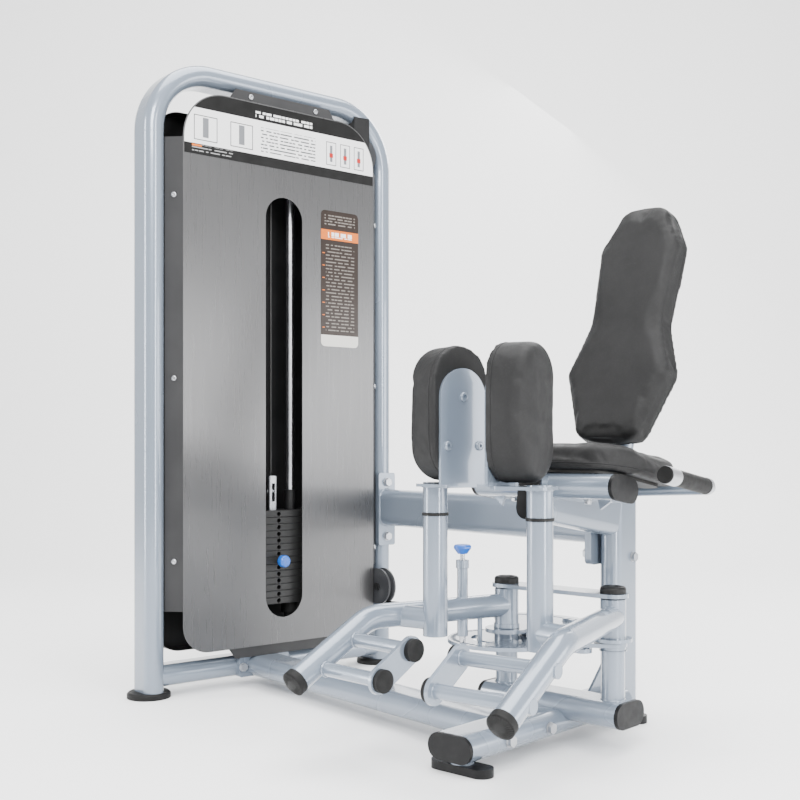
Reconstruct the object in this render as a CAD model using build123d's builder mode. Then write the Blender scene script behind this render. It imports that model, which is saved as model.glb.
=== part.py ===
from build123d import *
from math import atan2, cos, degrees, hypot, radians, sin, sqrt, tan
import os

# Seated inner and outer thigh machine: a weight-stack tower, a boom and a seat unit with two swinging leg arms.
#
# The seat unit's own axes are the part's axes: +X points away from the tower, the sitter faces -Y, +Z is up.
# Points of the seat unit are given from the middle of the two arm pivots at floor level, points of the tower
# from the middle of its two legs.  The tower stands turned a few degrees about Z.

os.makedirs("parts", exist_ok=True)

# ---- where the two units stand -----------------------------------------------------------------------------
SEAT_X, SEAT_Y = 365.1, 58.3            # middle of the arm pivots, from the middle of the floor outline
TOWER_BACK, TOWER_ASIDE = 885.5, 13.8   # middle of the tower's legs, from the middle of the arm pivots
TOWER_TURN = -8.2                       # the tower's turn about Z, degrees

SEAT = Plane(origin=(SEAT_X, SEAT_Y, 0))
TOWER = Plane(
    origin=(SEAT_X - TOWER_BACK, SEAT_Y + TOWER_ASIDE, 0),
    x_dir=(cos(radians(TOWER_TURN)), sin(radians(TOWER_TURN)), 0),
)
ALONG_X = Rot(0, 90, 0)                 # turns a profile's normal to +X, its x axis down
ALONG_Y = Rot(-90, 0, 0)                # turns a profile's normal to +Y, its y axis down

# ---- tube sizes --------------------------------------------------------------------------------------------
WALL = 3.0
OVAL_LONG, OVAL_SHORT = 100.0, 50.0     # flat-oval tube of the seat unit
HOOP_LONG, HOOP_SHORT = 90.0, 50.0      # flat-oval tube of the tower's hoop
ARM_OD = 48.0                           # round tube of the arms and pad posts
RUNNING = 0.1                           # radial clearance of a turning or sliding fit

# ---- tower -------------------------------------------------------------------------------------------------
HEIGHT = 1510.0
LEG_Q = 341.5                           # half the distance between the leg centres
HOOP_BEND = 150.0
LEG_PAD_H, LEG_PAD_R = 14.0, 51.0
HOOP_AXIS_TOP = HEIGHT - HOOP_SHORT / 2
LEG_TOP = HOOP_AXIS_TOP - HOOP_BEND - 10
BASE_Z = 49.0                           # axis height of the tubes that lie on the floor
LEG_INSIDE = LEG_Q - HOOP_SHORT / 2

PANEL_FRONT, SHEET = 62.0, 2.0
PANEL_HALF, PANEL_LOW, PANEL_HIGH = 285.0, 99.0, 1436.0
PANEL_CORNER, PANEL_TOP_CORNER = 70.0, 115.0
SLOT_HALF, SLOT_LOW, SLOT_HIGH = 55.0, 163.0, 1213.0
WING_LOW, WING_HIGH, RIGHT_WING_LOW = 202.0, 1319.0, 275.0

PLATE_COUNT, PINNED = 14, 8             # plates with the head plate, and how many of them the pin lifts
PLATE_T, PLATE_W, PLATE_D = 16.8, 280.0, 76.0
PLATE_GAP = 0.05                        # painted plates never seat quite flat on each other
STACK_LOW = 193.0
STACK_HIGH = STACK_LOW + PLATE_COUNT * PLATE_T
PIN_Z = STACK_LOW + (PLATE_COUNT - PINNED + 0.5) * PLATE_T
ROD_Q, ROD_R = 60.0, 10.0
SELECTOR_R, PIN_R = 11.0, 4.75

# ---- cable and pulleys -------------------------------------------------------------------------------------
CABLE_R = 3.0
PULLEY_R, GROOVE_R, PULLEY_W = 47.5, 41.0, 24.0
LOW_P, LOW_Q, LOW_Z = 75.0, 301.0, 218.0
TOP_Z = 1367.0
CAM_Z = 208.0                           # height of the cable in the cam's groove

# ---- seat unit ---------------------------------------------------------------------------------------------
PIVOT_X = 128.5                         # each arm pivot, from the middle
CROSS_HALF = 160.0                      # half length of the two cross tubes
CROSS_Z = 75.0
CAP_T = 8.0
FRONT_Y = -338.0                        # front end of the foot tube
POST_Y, POST_TOP = 232.0, 480.0
BOOM_Z, BOOM_HIGH = 425.0, 98.0
SPINDLE_R, POST_R, COLLAR_R = 15.0, 23.0, 25.0
COLLAR_TOP = 295.0
LINK_LOW, LINK_T, LINK_W = 298.0, 8.0, 60.0

DISC_R, DISC_LOW, DISC_T = 124.0, 182.0, 8.0
CAM_T = 8.0

ARM_Z = 260.0
BEND_X, BEND_Y = 223.0, -319.0          # where an arm tube turns down
TOE_X, TOE_Y, TOE_Z = 236.0, -495.0, 163.0
PAD_X, PAD_Y = 123.0, -238.0            # axis of a thigh pad's post
PAD_LOW, SWIVEL_Z, FLANGE_Z = 225.0, 461.0, 514.0
PAD_TURN = 10.0                         # how far each pad's front is turned outward, degrees
PLATE_IN = 77.0                         # from the post's axis in to the pad's back plate
PAD_FACE = -6.0                         # from the post's axis to the pad's front face, which looks outward
PAD_FOOT, PAD_HEAD, PAD_W = 524.0, 784.0, 141.0

SEAT_TILT = 9.5                         # the seat rises to the front, degrees
SEAT_LINE_Y, SEAT_LINE_Z = -17.0, 535.0  # a point of the plane that the seat board lies on
BACK_LEAN = 18.7                        # the backrest's lean from upright, degrees
BACK_Y, BACK_Z = 163.4, 609.0           # bottom of the backrest's front face
CUSHION_T, BOARD_T = 54.0, 6.0


def save(piece, label):
    """Names a finished piece and writes it as one node."""
    piece.part.label = label
    export_step(piece.part, f"parts/{label}.step")


def round_bar(place, radius, length, bore=0.0):
    """A round bar or tube standing on a place, along its normal."""
    with BuildPart() as bar:
        with BuildSketch(place):
            Circle(radius)
            if bore:
                Circle(bore, mode=Mode.SUBTRACT)
        extrude(amount=length)
    return bar.part


def oval_bar(place, long_side, short_side, length, wall=0.0, turn=0.0):
    """A flat-oval bar or tube standing on a place, its long side along the place's x axis unless turned."""
    with BuildPart() as bar:
        with BuildSketch(place):
            SlotOverall(long_side, short_side, rotation=turn)
            if wall:
                SlotOverall(long_side - 2 * wall, short_side - 2 * wall, rotation=turn, mode=Mode.SUBTRACT)
        extrude(amount=length)
    return bar.part


def bent_bar(points, bend, radius, bore=0.0):
    """A round bar or tube along straight runs joined by bends of one radius."""
    with BuildPart() as bar:
        with BuildLine() as route:
            FilletPolyline(*points, radius=bend)
        with BuildSketch(Plane(origin=route.line @ 0, z_dir=route.line % 0)):
            Circle(radius)
            if bore:
                Circle(bore, mode=Mode.SUBTRACT)
        sweep(path=route.line)
    return bar.part


def hex_bolt(place, across, head, reach=0.0):
    """A hex head that stands on a place, with a washer under it and a shank of a given reach behind it."""
    with BuildPart() as bolt:
        with BuildSketch(place):
            Circle(across * 0.62)
        extrude(amount=1.5)
        with BuildSketch(place * Pos(0, 0, 1.5)):
            RegularPolygon(across / 2, 6, major_radius=False)
        extrude(amount=head)
        if reach:
            with BuildSketch(place):
                Circle(across * 0.3)
            extrude(amount=-reach)
    return bolt.part


def button_head(place, radius, rise):
    """A domed screw head with a hexagon socket."""
    with BuildPart() as screw:
        with BuildSketch(place):
            Circle(radius)
        extrude(amount=rise)
        fillet(screw.edges().group_by(lambda e: (e.center() - (place * Pos(0, 0, rise)).position).length)[0],
               rise * 0.7)
        with BuildSketch(place * Pos(0, 0, rise)):
            RegularPolygon(radius * 0.42, 6)
        extrude(amount=-rise * 0.6, mode=Mode.SUBTRACT)
    return screw.part


def group(label, solids):
    """Saves several separate equal solids as one node."""
    with BuildPart() as many:
        add(solids)
    save(many, label)


def tower(p, q, z):
    """A point given from the tower's middle, p along the boom and q along the row of its two legs."""
    return TOWER.from_local_coords((p, q, z))


def seat(x, y, z):
    """A point given from the middle of the arm pivots."""
    return SEAT.from_local_coords((x, y, z))


# ============================================================== tower: hoop and base
LEG_CORES = [
    oval_bar(TOWER * Pos(0, side * LEG_Q, 0), HOOP_LONG, HOOP_SHORT, HEIGHT) for side in (-1, 1)
]

for side, name in ((-1, "front"), (1, "rear")):
    group(f"hoop_leg_{name}", oval_bar(
        TOWER * Pos(0, side * LEG_Q, LEG_PAD_H), HOOP_LONG, HOOP_SHORT, LEG_TOP - LEG_PAD_H, WALL))

with BuildPart() as hoop_pads:
    with BuildSketch(TOWER):
        with Locations((0, -LEG_Q), (0, LEG_Q)):
            Circle(LEG_PAD_R)
    extrude(amount=LEG_PAD_H)
    chamfer(hoop_pads.edges().group_by(Axis.Z)[-1], 4)
save(hoop_pads, "hoop_pads")



def hoop_bend(wall=0.0):
    """The hoop's top: both corners and the straight between them, solid or as a tube."""
    with BuildPart() as bend:
        with BuildLine() as hoop_route:
            FilletPolyline(
                tower(0, -LEG_Q, LEG_TOP),
                tower(0, -LEG_Q, HOOP_AXIS_TOP),
                tower(0, LEG_Q, HOOP_AXIS_TOP),
                tower(0, LEG_Q, LEG_TOP),
                radius=HOOP_BEND,
            )
        with BuildSketch(Plane(origin=tower(0, -LEG_Q, LEG_TOP), x_dir=TOWER.x_dir, z_dir=(0, 0, 1))):
            SlotOverall(HOOP_LONG, HOOP_SHORT)
            if wall:
                SlotOverall(HOOP_LONG - 2 * wall, HOOP_SHORT - 2 * wall, mode=Mode.SUBTRACT)
        sweep(path=hoop_route.line)
    return bend.part


group("hoop_top", hoop_bend(WALL))

# The base bar joins the legs near the floor, the base beam runs from it to the seat unit's foot tube.
BAR_LONG = 80.0
BEAM_Q = -50.0
BRACKET_FRONT = 48.0
bar_core = oval_bar(TOWER * Pos(0, -LEG_Q, BASE_Z) * ALONG_Y, BAR_LONG, OVAL_SHORT, 2 * LEG_Q)
foot_core = oval_bar(SEAT * Pos(0, FRONT_Y, BASE_Z) * ALONG_Y, OVAL_LONG, OVAL_SHORT, POST_Y - FRONT_Y)

with BuildPart() as base_bar:
    add(oval_bar(TOWER * Pos(0, -LEG_Q, BASE_Z) * ALONG_Y, BAR_LONG, OVAL_SHORT, 2 * LEG_Q, WALL))
    add(LEG_CORES, mode=Mode.SUBTRACT)
save(base_bar, "base_bar")

with BuildPart() as base_beam:
    with BuildSketch(TOWER * Pos(26, BEAM_Q, BASE_Z) * ALONG_X):
        RectangleRounded(50, 146, 8)
    extrude(amount=BRACKET_FRONT - 26)
    add(bar_core, mode=Mode.SUBTRACT)
    add(oval_bar(TOWER * Pos(BRACKET_FRONT, BEAM_Q, BASE_Z) * ALONG_X, OVAL_LONG, OVAL_SHORT,
                 TOWER_BACK - BRACKET_FRONT, WALL, turn=90))
    add(foot_core, mode=Mode.SUBTRACT)
save(base_beam, "base_beam")

# ============================================================== tower: guards
def panel_outline(inset):
    """The panel's outline, x down and y along the legs, drawn in by a margin."""
    half, low, high = PANEL_HALF - inset, PANEL_LOW + inset, PANEL_HIGH - inset
    lower, upper = PANEL_CORNER - inset, PANEL_TOP_CORNER - inset
    return FilletPolyline((-low, -half), (-high, -half), (-high, half), (-low, half),
                          radius=[lower, upper, upper, lower], close=True)


with BuildPart() as front_panel:
    with BuildSketch(TOWER * Pos(PANEL_FRONT - SHEET, 0, 0) * ALONG_X):
        with BuildLine():
            panel_outline(0)
        make_face()
        with Locations((-(SLOT_LOW + SLOT_HIGH) / 2, 0)):
            SlotOverall(SLOT_HIGH - SLOT_LOW, 2 * SLOT_HALF, mode=Mode.SUBTRACT)
    extrude(amount=SHEET)
save(front_panel, "front_panel")

WING_BACK_P = PANEL_FRONT - (LEG_INSIDE - PANEL_HALF)   # where the 45 degree face ends
WING_EDGE = SHEET * sqrt(2)
wings = []
for side, low in ((-1, WING_LOW), (1, RIGHT_WING_LOW)):
    outline = [
        (PANEL_FRONT, PANEL_HALF),
        (WING_BACK_P, LEG_INSIDE),
        (-20, LEG_INSIDE),
        (-20, LEG_INSIDE - SHEET),
        (WING_BACK_P - WING_EDGE + SHEET, LEG_INSIDE - SHEET),
        (PANEL_FRONT - WING_EDGE, PANEL_HALF),
    ]
    with BuildPart() as wing:
        with BuildSketch(TOWER * Pos(0, 0, low)):
            with BuildLine():
                Polyline(*[(p, side * q) for p, q in outline], close=True)
            make_face()
        extrude(amount=WING_HIGH - low)
    wings.append(wing.part)
group("side_wings", wings)

TRAY_BACK, TRAY_FRONT, TRAY_HALF, TRAY_LOW, TRAY_HIGH = -62.0, -20.0, LEG_INSIDE, 95.0, 1400.0
TRAY_MID, TRAY_TALL = (TRAY_LOW + TRAY_HIGH) / 2, TRAY_HIGH - TRAY_LOW
with BuildPart() as rear_cover:
    with BuildSketch(TOWER * Pos(TRAY_BACK, 0, TRAY_MID) * ALONG_X):
        RectangleRounded(TRAY_TALL, 2 * TRAY_HALF, PANEL_CORNER)
    extrude(amount=TRAY_FRONT - TRAY_BACK)
    with BuildSketch(TOWER * Pos(TRAY_BACK + SHEET, 0, TRAY_MID) * ALONG_X):
        RectangleRounded(TRAY_TALL - 2 * SHEET, 2 * TRAY_HALF - 2 * SHEET, PANEL_CORNER - SHEET)
    extrude(amount=TRAY_FRONT - TRAY_BACK, mode=Mode.SUBTRACT)
save(rear_cover, "rear_cover")

# Trapezoid guard brackets: an upright sheet behind the panel and a tab that reaches back to the tower's tube.
GUARD_T = 3.0
GUARD_P = PANEL_FRONT - SHEET - GUARD_T
TAB_BACK, TAB_LEFT, TAB_RIGHT = -16.0, -42.0, 14.0
guards = []
for wide_z, narrow_z, tab_z in (
    (1370.0, HEIGHT - HOOP_SHORT, HEIGHT - HOOP_SHORT - GUARD_T),
    (158.0, BASE_Z + OVAL_SHORT / 2, BASE_Z + OVAL_SHORT / 2),
):
    with BuildPart() as guard:
        with BuildSketch(TOWER * Pos(GUARD_P, 0, 0) * ALONG_X):
            with BuildLine():
                Polyline((-wide_z, -200), (-narrow_z, -140), (-narrow_z, 140), (-wide_z, 200), close=True)
            make_face()
        extrude(amount=GUARD_T)
        with BuildSketch(TOWER * Pos((TAB_BACK + GUARD_P) / 2, (TAB_LEFT + TAB_RIGHT) / 2, tab_z)):
            Rectangle(GUARD_P - TAB_BACK, TAB_RIGHT - TAB_LEFT)
        extrude(amount=GUARD_T)
    guards.append(guard.part)
group("guard_brackets", guards)

# Two thin labels on the panel: a placard across its top and a tall one right of the slot.
PLACARD_LOW, LABEL_T = 1283.0, 0.8
with BuildPart() as labels:
    with BuildSketch(TOWER * Pos(PANEL_FRONT, 0, 0) * ALONG_X):
        with BuildLine():
            panel_outline(3)
        make_face()
        with Locations((-PLACARD_LOW / 2, 0)):
            Rectangle(PLACARD_LOW, 2 * PANEL_HALF + 20, mode=Mode.SUBTRACT)
        with Locations((-1024, 173)):
            RectangleRounded(351, 120, 12)
    extrude(amount=LABEL_T)
save(labels, "panel_labels")

# Six button-head screws on the wings, three a side, and two on the upper guard bracket.
screws = []
for side in (-1, 1):
    for z in (320, 751, 1182):
        face = TOWER * Pos((PANEL_FRONT + WING_BACK_P) / 2, side * (PANEL_HALF + LEG_INSIDE) / 2, z)
        screws.append(button_head(face * Rot(0, 0, side * 45) * ALONG_X, 6.5, 3.5))
for q in (-97, 97):
    screws.append(button_head(TOWER * Pos(GUARD_P + GUARD_T, q, 1447) * ALONG_X, 6.5, 3.5))
group("wing_screws", screws)

# ============================================================== tower: weight stack
def weight_plate(low, rod_hole, selector_hole):
    """One rectangular plate with two guide-rod holes, a selector hole and the pin's cross hole."""
    with BuildPart() as plate:
        with BuildSketch(TOWER * Pos(0, 0, low)):
            RectangleRounded(PLATE_D, PLATE_W, 6)
            with Locations((0, ROD_Q), (0, -ROD_Q)):
                Circle(rod_hole, mode=Mode.SUBTRACT)
            Circle(selector_hole, mode=Mode.SUBTRACT)
        extrude(amount=PLATE_T - PLATE_GAP)
        chamfer(plate.faces().filter_by(Plane.XY).edges().filter_by(GeomType.LINE), 1.6)
        with BuildSketch(TOWER * Pos(-24, 0, low + PLATE_T / 2) * ALONG_X):
            Circle(PIN_R + 0.75)
        extrude(amount=PLATE_D, mode=Mode.SUBTRACT)
    return plate.part


def plate_low(index):
    """Height of the underside of a plate, counted from the bottom of the stack."""
    return STACK_LOW + index * PLATE_T


LEFT_BEHIND = PLATE_COUNT - PINNED
group("resting_plates", [weight_plate(plate_low(i), ROD_R + 2, SELECTOR_R + 1.5) for i in range(LEFT_BEHIND)])
group("lifted_plates", [
    weight_plate(plate_low(i), ROD_R + 2, SELECTOR_R) for i in range(LEFT_BEHIND, PLATE_COUNT - 1)])
group("head_plate", weight_plate(plate_low(PLATE_COUNT - 1), 16, SELECTOR_R))

BUSH_TALL = 68.0
group("guide_bushes", [
    round_bar(TOWER * Pos(0, q, STACK_HIGH - PLATE_T), 16, BUSH_TALL, ROD_R + RUNNING) for q in (-ROD_Q, ROD_Q)])

FORK_TOP = 515.0
with BuildPart() as selector_rod:
    add(round_bar(TOWER * Pos(0, 0, STACK_LOW + 4), SELECTOR_R, STACK_HIGH - STACK_LOW - 4))
    with BuildSketch(TOWER * Pos(0, 0, STACK_HIGH)):
        RectangleRounded(26, 24, 5)
    extrude(amount=FORK_TOP - STACK_HIGH)
    with BuildSketch(TOWER * Pos(0, 0, STACK_HIGH + 22)):
        Rectangle(30, 9)
    extrude(amount=46, mode=Mode.SUBTRACT)
    add(round_bar(TOWER * Pos(0, -13, STACK_HIGH + 48) * ALONG_Y, 5, 26))
    for i in range(PLATE_COUNT):
        with BuildSketch(TOWER * Pos(-SELECTOR_R - 1, 0, plate_low(i) + PLATE_T / 2) * ALONG_X):
            Circle(PIN_R + RUNNING)
        extrude(amount=2 * SELECTOR_R + 2, mode=Mode.SUBTRACT)
save(selector_rod, "selector_rod")

KNOB_P, KNOB_LONG = 54.0, 17.0
with BuildPart() as selector_pin:
    add(round_bar(TOWER * Pos(-SELECTOR_R - 4, 0, PIN_Z) * ALONG_X, PIN_R, KNOB_P + SELECTOR_R + 4))
    add(round_bar(TOWER * Pos(KNOB_P, 0, PIN_Z) * ALONG_X, 15, KNOB_LONG))
    fillet(selector_pin.edges().group_by(lambda e: (e.center() - tower(KNOB_P + KNOB_LONG, 0, PIN_Z)).length)[0], 6)
save(selector_pin, "selector_pin")

BAR_TOP = BASE_Z + OVAL_SHORT / 2
ROD_TOP = TOP_Z - PULLEY_R - 5
group("guide_rods", [round_bar(TOWER * Pos(0, q, BAR_TOP), ROD_R, ROD_TOP - BAR_TOP) for q in (-ROD_Q, ROD_Q)])
BUFFER_T = 28.0
with BuildPart() as buffers:
    for q in (-ROD_Q, ROD_Q):
        add(round_bar(TOWER * Pos(0, q, BAR_TOP), 17, STACK_LOW - BUFFER_T - BAR_TOP, ROD_R))
        add(round_bar(TOWER * Pos(0, q, STACK_LOW - BUFFER_T), 24, BUFFER_T, ROD_R))
save(buffers, "stack_buffers")

# ============================================================== cable and pulleys
pivot_local = TOWER.to_local_coords(seat(-PIVOT_X, 0, 0))
CAM_R = LOW_Q - pivot_local.Y           # the cable leaves the low pulley straight along the boom's direction
RUN_P = pivot_local.X
DROP_P = LOW_P - GROOVE_R               # the cable drops into the back of the low pulley's groove
TOP_RUN = hypot(DROP_P, LOW_Q)
TOP_TURN = degrees(atan2(LOW_Q, DROP_P))
TOP_LINE = TOWER * Pos(0, 0, TOP_Z) * Rot(0, 0, TOP_TURN)   # x runs from the stack's cable to the drop


def pulley(place):
    """A grooved wheel on a place whose normal is the axle."""
    with BuildPart() as wheel:
        with BuildSketch(place * Pos(0, 0, -PULLEY_W / 2)):
            Circle(PULLEY_R)
            Circle(6 + RUNNING, mode=Mode.SUBTRACT)
        extrude(amount=PULLEY_W)
        with BuildSketch(place * Rot(90, 0, 0)):
            with BuildLine():
                Polyline(
                    (GROOVE_R - CABLE_R - 0.2, -CABLE_R - 0.2),
                    (GROOVE_R - CABLE_R - 0.2, CABLE_R + 0.2),
                    (PULLEY_R + 1, CABLE_R + 4),
                    (PULLEY_R + 1, -CABLE_R - 4),
                    close=True,
                )
            make_face()
        revolve(axis=Axis((place * Pos(0, 0, 0)).position, Plane(place).z_dir), mode=Mode.SUBTRACT)
        for face_z in (PULLEY_W / 2, -PULLEY_W / 2 - 4):
            with BuildSketch(place * Pos(0, 0, face_z)):
                Circle(GROOVE_R - 8)
                Circle(14, mode=Mode.SUBTRACT)
            extrude(amount=4 if face_z < 0 else -4, mode=Mode.SUBTRACT)
    return wheel.part


low_pulley_place = TOWER * Pos(LOW_P, LOW_Q, LOW_Z) * ALONG_Y
top_places = [
    TOP_LINE * Pos(GROOVE_R, 0, 0) * ALONG_Y,
    TOP_LINE * Pos(TOP_RUN - GROOVE_R, 0, 0) * ALONG_Y,
]
group("pulley_low", pulley(low_pulley_place))
group("pulley_stack", pulley(top_places[0]))
group("pulley_drop", pulley(top_places[1]))

# Two pulley hangers and, below them, the strap that holds the guide rods' upper ends.
CHEEK_GAP, CHEEK_T = PULLEY_W / 2 + 1.5, 4.0
CHEEK_LOW, CHEEK_OPEN = 20.0, 70.0
HANGER_TOP = HEIGHT - HOOP_SHORT + 4
hoop_core = hoop_bend()
hangers = []
for along in (GROOVE_R, TOP_RUN - GROOVE_R):
    with BuildPart() as hanger:
        with BuildSketch(TOP_LINE * Pos(along, 0, -CHEEK_LOW)):
            Rectangle(46, 2 * (CHEEK_GAP + CHEEK_T))
        extrude(amount=HANGER_TOP - TOP_Z + CHEEK_LOW)
        with BuildSketch(TOP_LINE * Pos(along, 0, -CHEEK_LOW)):
            Rectangle(60, 2 * CHEEK_GAP)
        extrude(amount=CHEEK_OPEN, mode=Mode.SUBTRACT)
        add(round_bar(TOP_LINE * Pos(along, -CHEEK_GAP - CHEEK_T - 5, 0) * ALONG_Y, 6,
                      2 * (CHEEK_GAP + CHEEK_T + 5)))
        add(hoop_core, mode=Mode.SUBTRACT)
    hangers.append(hanger.part)

STRAP_T, STRAP_P, STRAP_LEFT, STRAP_RIGHT = 6.0, 40.0, -90.0, 110.0
with BuildPart() as strap:
    with BuildSketch(TOWER * Pos(0, (STRAP_LEFT + STRAP_RIGHT) / 2, ROD_TOP - STRAP_T)):
        Rectangle(STRAP_P, STRAP_RIGHT - STRAP_LEFT)
    extrude(amount=HEIGHT - HOOP_SHORT - ROD_TOP + STRAP_T)
    with BuildSketch(TOWER * Pos(0, (STRAP_LEFT + STRAP_RIGHT) / 2, ROD_TOP)):
        Rectangle(STRAP_P + 20, STRAP_RIGHT - STRAP_LEFT - 2 * STRAP_T)
    extrude(amount=HEIGHT, mode=Mode.SUBTRACT)
    with BuildSketch(TOWER * Pos(0, 0, ROD_TOP - STRAP_T)):
        with Locations((0, -ROD_Q), (0, ROD_Q)):
            Circle(ROD_R)
        Circle(9)
    extrude(amount=STRAP_T, mode=Mode.SUBTRACT)
    add(round_bar(TOP_LINE * Pos(80, 0, GROOVE_R) * ALONG_X, 8, 60), mode=Mode.SUBTRACT)
hangers.append(strap.part)
group("top_hangers", hangers)

with BuildPart() as low_bracket:
    with BuildSketch(TOWER * Pos(0, LEG_INSIDE - 3.4, LOW_Z) * ALONG_Y):
        with BuildLine():
            Polyline((-18, -30), (60, -24), (60, 24), (-18, 30), close=True)
        make_face()
        with Locations((60 + 15, 0)):
            Circle(24)
        with Locations((60, 0)):
            Rectangle(30, 48)
    extrude(amount=3.4)
    add(round_bar(low_pulley_place * Pos(0, 0, -PULLEY_W / 2 - 5), 6, LEG_INSIDE - 3.4 - LOW_Q + PULLEY_W / 2 + 5))
    add(round_bar(low_pulley_place * Pos(0, 0, -PULLEY_W / 2 - 5), 10, 4))
save(low_bracket, "low_pulley_bracket")

group("lift_cable", round_bar(TOWER * Pos(0, 0, FORK_TOP), CABLE_R, TOP_Z - FORK_TOP))

out_slope = atan2(CAM_Z - (LOW_Z - GROOVE_R), RUN_P - LOW_P)
group("run_cable", bent_bar(
    [
        tower(0, 0, TOP_Z),
        tower(0, 0, TOP_Z + GROOVE_R),
        tower(DROP_P, LOW_Q, TOP_Z + GROOVE_R),
        tower(DROP_P, LOW_Q, CAM_Z - (RUN_P - DROP_P) * tan(out_slope)),
        tower(RUN_P, LOW_Q, CAM_Z),
    ],
    GROOVE_R - 0.05, CABLE_R))

# ============================================================== seat unit: foot, cross tube, post and boom
POST_CAP = 4.0                         # plates that close the post's two ends
CROSS = SEAT * Pos(-CROSS_HALF, 0, CROSS_Z) * ALONG_X
cross_core = oval_bar(CROSS, OVAL_LONG, OVAL_SHORT, 2 * CROSS_HALF, turn=90)
post_core = oval_bar(SEAT * Pos(0, POST_Y, 0), OVAL_LONG, OVAL_SHORT, POST_TOP, turn=90)

with BuildPart() as foot_tube:
    add(oval_bar(SEAT * Pos(0, FRONT_Y, BASE_Z) * ALONG_Y, OVAL_LONG, OVAL_SHORT,
                 POST_Y - OVAL_SHORT / 2 - FRONT_Y, WALL))
    add(post_core, mode=Mode.SUBTRACT)
    add(cross_core, mode=Mode.SUBTRACT)
save(foot_tube, "foot_tube")
group("cross_tube", oval_bar(CROSS, OVAL_LONG, OVAL_SHORT, 2 * CROSS_HALF, WALL, turn=90))

FOOT_H, FOOT_STUB = 16.0, 8.0
with BuildPart() as floor_feet:
    for y in (FRONT_Y + 30, POST_Y):
        with BuildSketch(SEAT * Pos(0, y, 0)):
            SlotOverall(134, 45)
        extrude(amount=FOOT_H)
        add(round_bar(SEAT * Pos(0, y, FOOT_H), 22.5, FOOT_STUB))
save(floor_feet, "floor_feet")

GUSSET = 72.0
FLANGE_IN, FLANGE_T, FLANGE_LOW, FLANGE_HIGH = 25.0, 8.0, 337.0, 480.0
FLANGE_MID = (FLANGE_LOW + FLANGE_HIGH) / 2
with BuildPart() as seat_post:
    add(oval_bar(SEAT * Pos(0, POST_Y, FOOT_H + FOOT_STUB), OVAL_LONG, OVAL_SHORT,
                 POST_TOP - FOOT_H - FOOT_STUB, WALL, turn=90))
    for z in (FOOT_H + FOOT_STUB, POST_TOP - POST_CAP):
        add(oval_bar(SEAT * Pos(0, POST_Y, z), OVAL_LONG - 2, OVAL_SHORT - 2, POST_CAP, turn=90))
    with BuildSketch(SEAT * Pos(-3, 0, 0) * Rot(0, 90, 0)):
        foot_top = BASE_Z + OVAL_SHORT / 2
        front = POST_Y - OVAL_LONG / 2
        with BuildLine():
            Polyline((-foot_top, front + 2), (-foot_top, front - GUSSET), (-foot_top - GUSSET, front + 2),
                     close=True)
        make_face()
    extrude(amount=6)
    with BuildSketch(SEAT * Pos(-FLANGE_IN, POST_Y - 1, FLANGE_MID) * Rot(0, -90, 0)):
        RectangleRounded(FLANGE_HIGH - FLANGE_LOW, 138, 12)
    extrude(amount=FLANGE_T)
save(seat_post, "seat_post")

BOOM_START, BOOM_PLATE_BACK, BOOM_PLATE_FRONT = 40.0, 36.0, 50.0
with BuildPart() as boom:
    add(oval_bar(TOWER * Pos(BOOM_START, LEG_Q, BOOM_Z) * ALONG_X, BOOM_HIGH, OVAL_SHORT,
                 TOWER_BACK - BOOM_START, WALL))
    with BuildSketch(TOWER * Pos(BOOM_PLATE_BACK, LEG_Q, 420.5) * ALONG_X):
        RectangleRounded(195, 56, 6)
    extrude(amount=BOOM_PLATE_FRONT - BOOM_PLATE_BACK)
    add(LEG_CORES, mode=Mode.SUBTRACT)
    with BuildSketch(SEAT * Pos(-FLANGE_IN - FLANGE_T, POST_Y, BOOM_Z) * ALONG_X):
        Rectangle(300, 400)
    extrude(amount=400, mode=Mode.SUBTRACT)
    with BuildSketch(SEAT * Pos(-FLANGE_IN - FLANGE_T, POST_Y - 1, FLANGE_MID) * Rot(0, -90, 0)):
        RectangleRounded(FLANGE_HIGH - FLANGE_LOW, 138, 12)
    extrude(amount=FLANGE_T)
save(boom, "boom")

# ============================================================== seat unit: seat
SEAT_LINE = SEAT * Pos(0, SEAT_LINE_Y, SEAT_LINE_Z) * Rot(-SEAT_TILT, 0, 0)   # x right, y back along the board
BEAM_FRONT, BEAM_BACK = -72.0, 227.0
BACK = SEAT * Pos(0, BACK_Y, BACK_Z) * Rot(90 - BACK_LEAN, 0, 0)              # x right, y up the back, z forward
SUPPORT_LOW, SUPPORT_HIGH, SUPPORT_DEPTH = -115.0, 400.0, 87.0
UP_BACK = BACK * Pos(0, SUPPORT_LOW, -SUPPORT_DEPTH) * ALONG_Y
beam_core = oval_bar(SEAT_LINE * Pos(0, BEAM_FRONT, -OVAL_LONG / 2) * ALONG_Y, OVAL_LONG, OVAL_SHORT,
                     BEAM_BACK - BEAM_FRONT, turn=90)
bar_place = SEAT_LINE * Pos(-CROSS_HALF, 0, -OVAL_SHORT / 2) * ALONG_X
bar_core = oval_bar(bar_place, OVAL_LONG, OVAL_SHORT, 2 * CROSS_HALF, turn=90)
support_core = round_bar(UP_BACK, ARM_OD / 2, SUPPORT_HIGH - SUPPORT_LOW)

with BuildPart() as seat_beam:
    add(oval_bar(SEAT_LINE * Pos(0, BEAM_FRONT, -OVAL_LONG / 2) * ALONG_Y, OVAL_LONG, OVAL_SHORT,
                 BEAM_BACK - BEAM_FRONT, WALL, turn=90))
    add([post_core, support_core, bar_core], mode=Mode.SUBTRACT)
save(seat_beam, "seat_beam")

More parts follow.
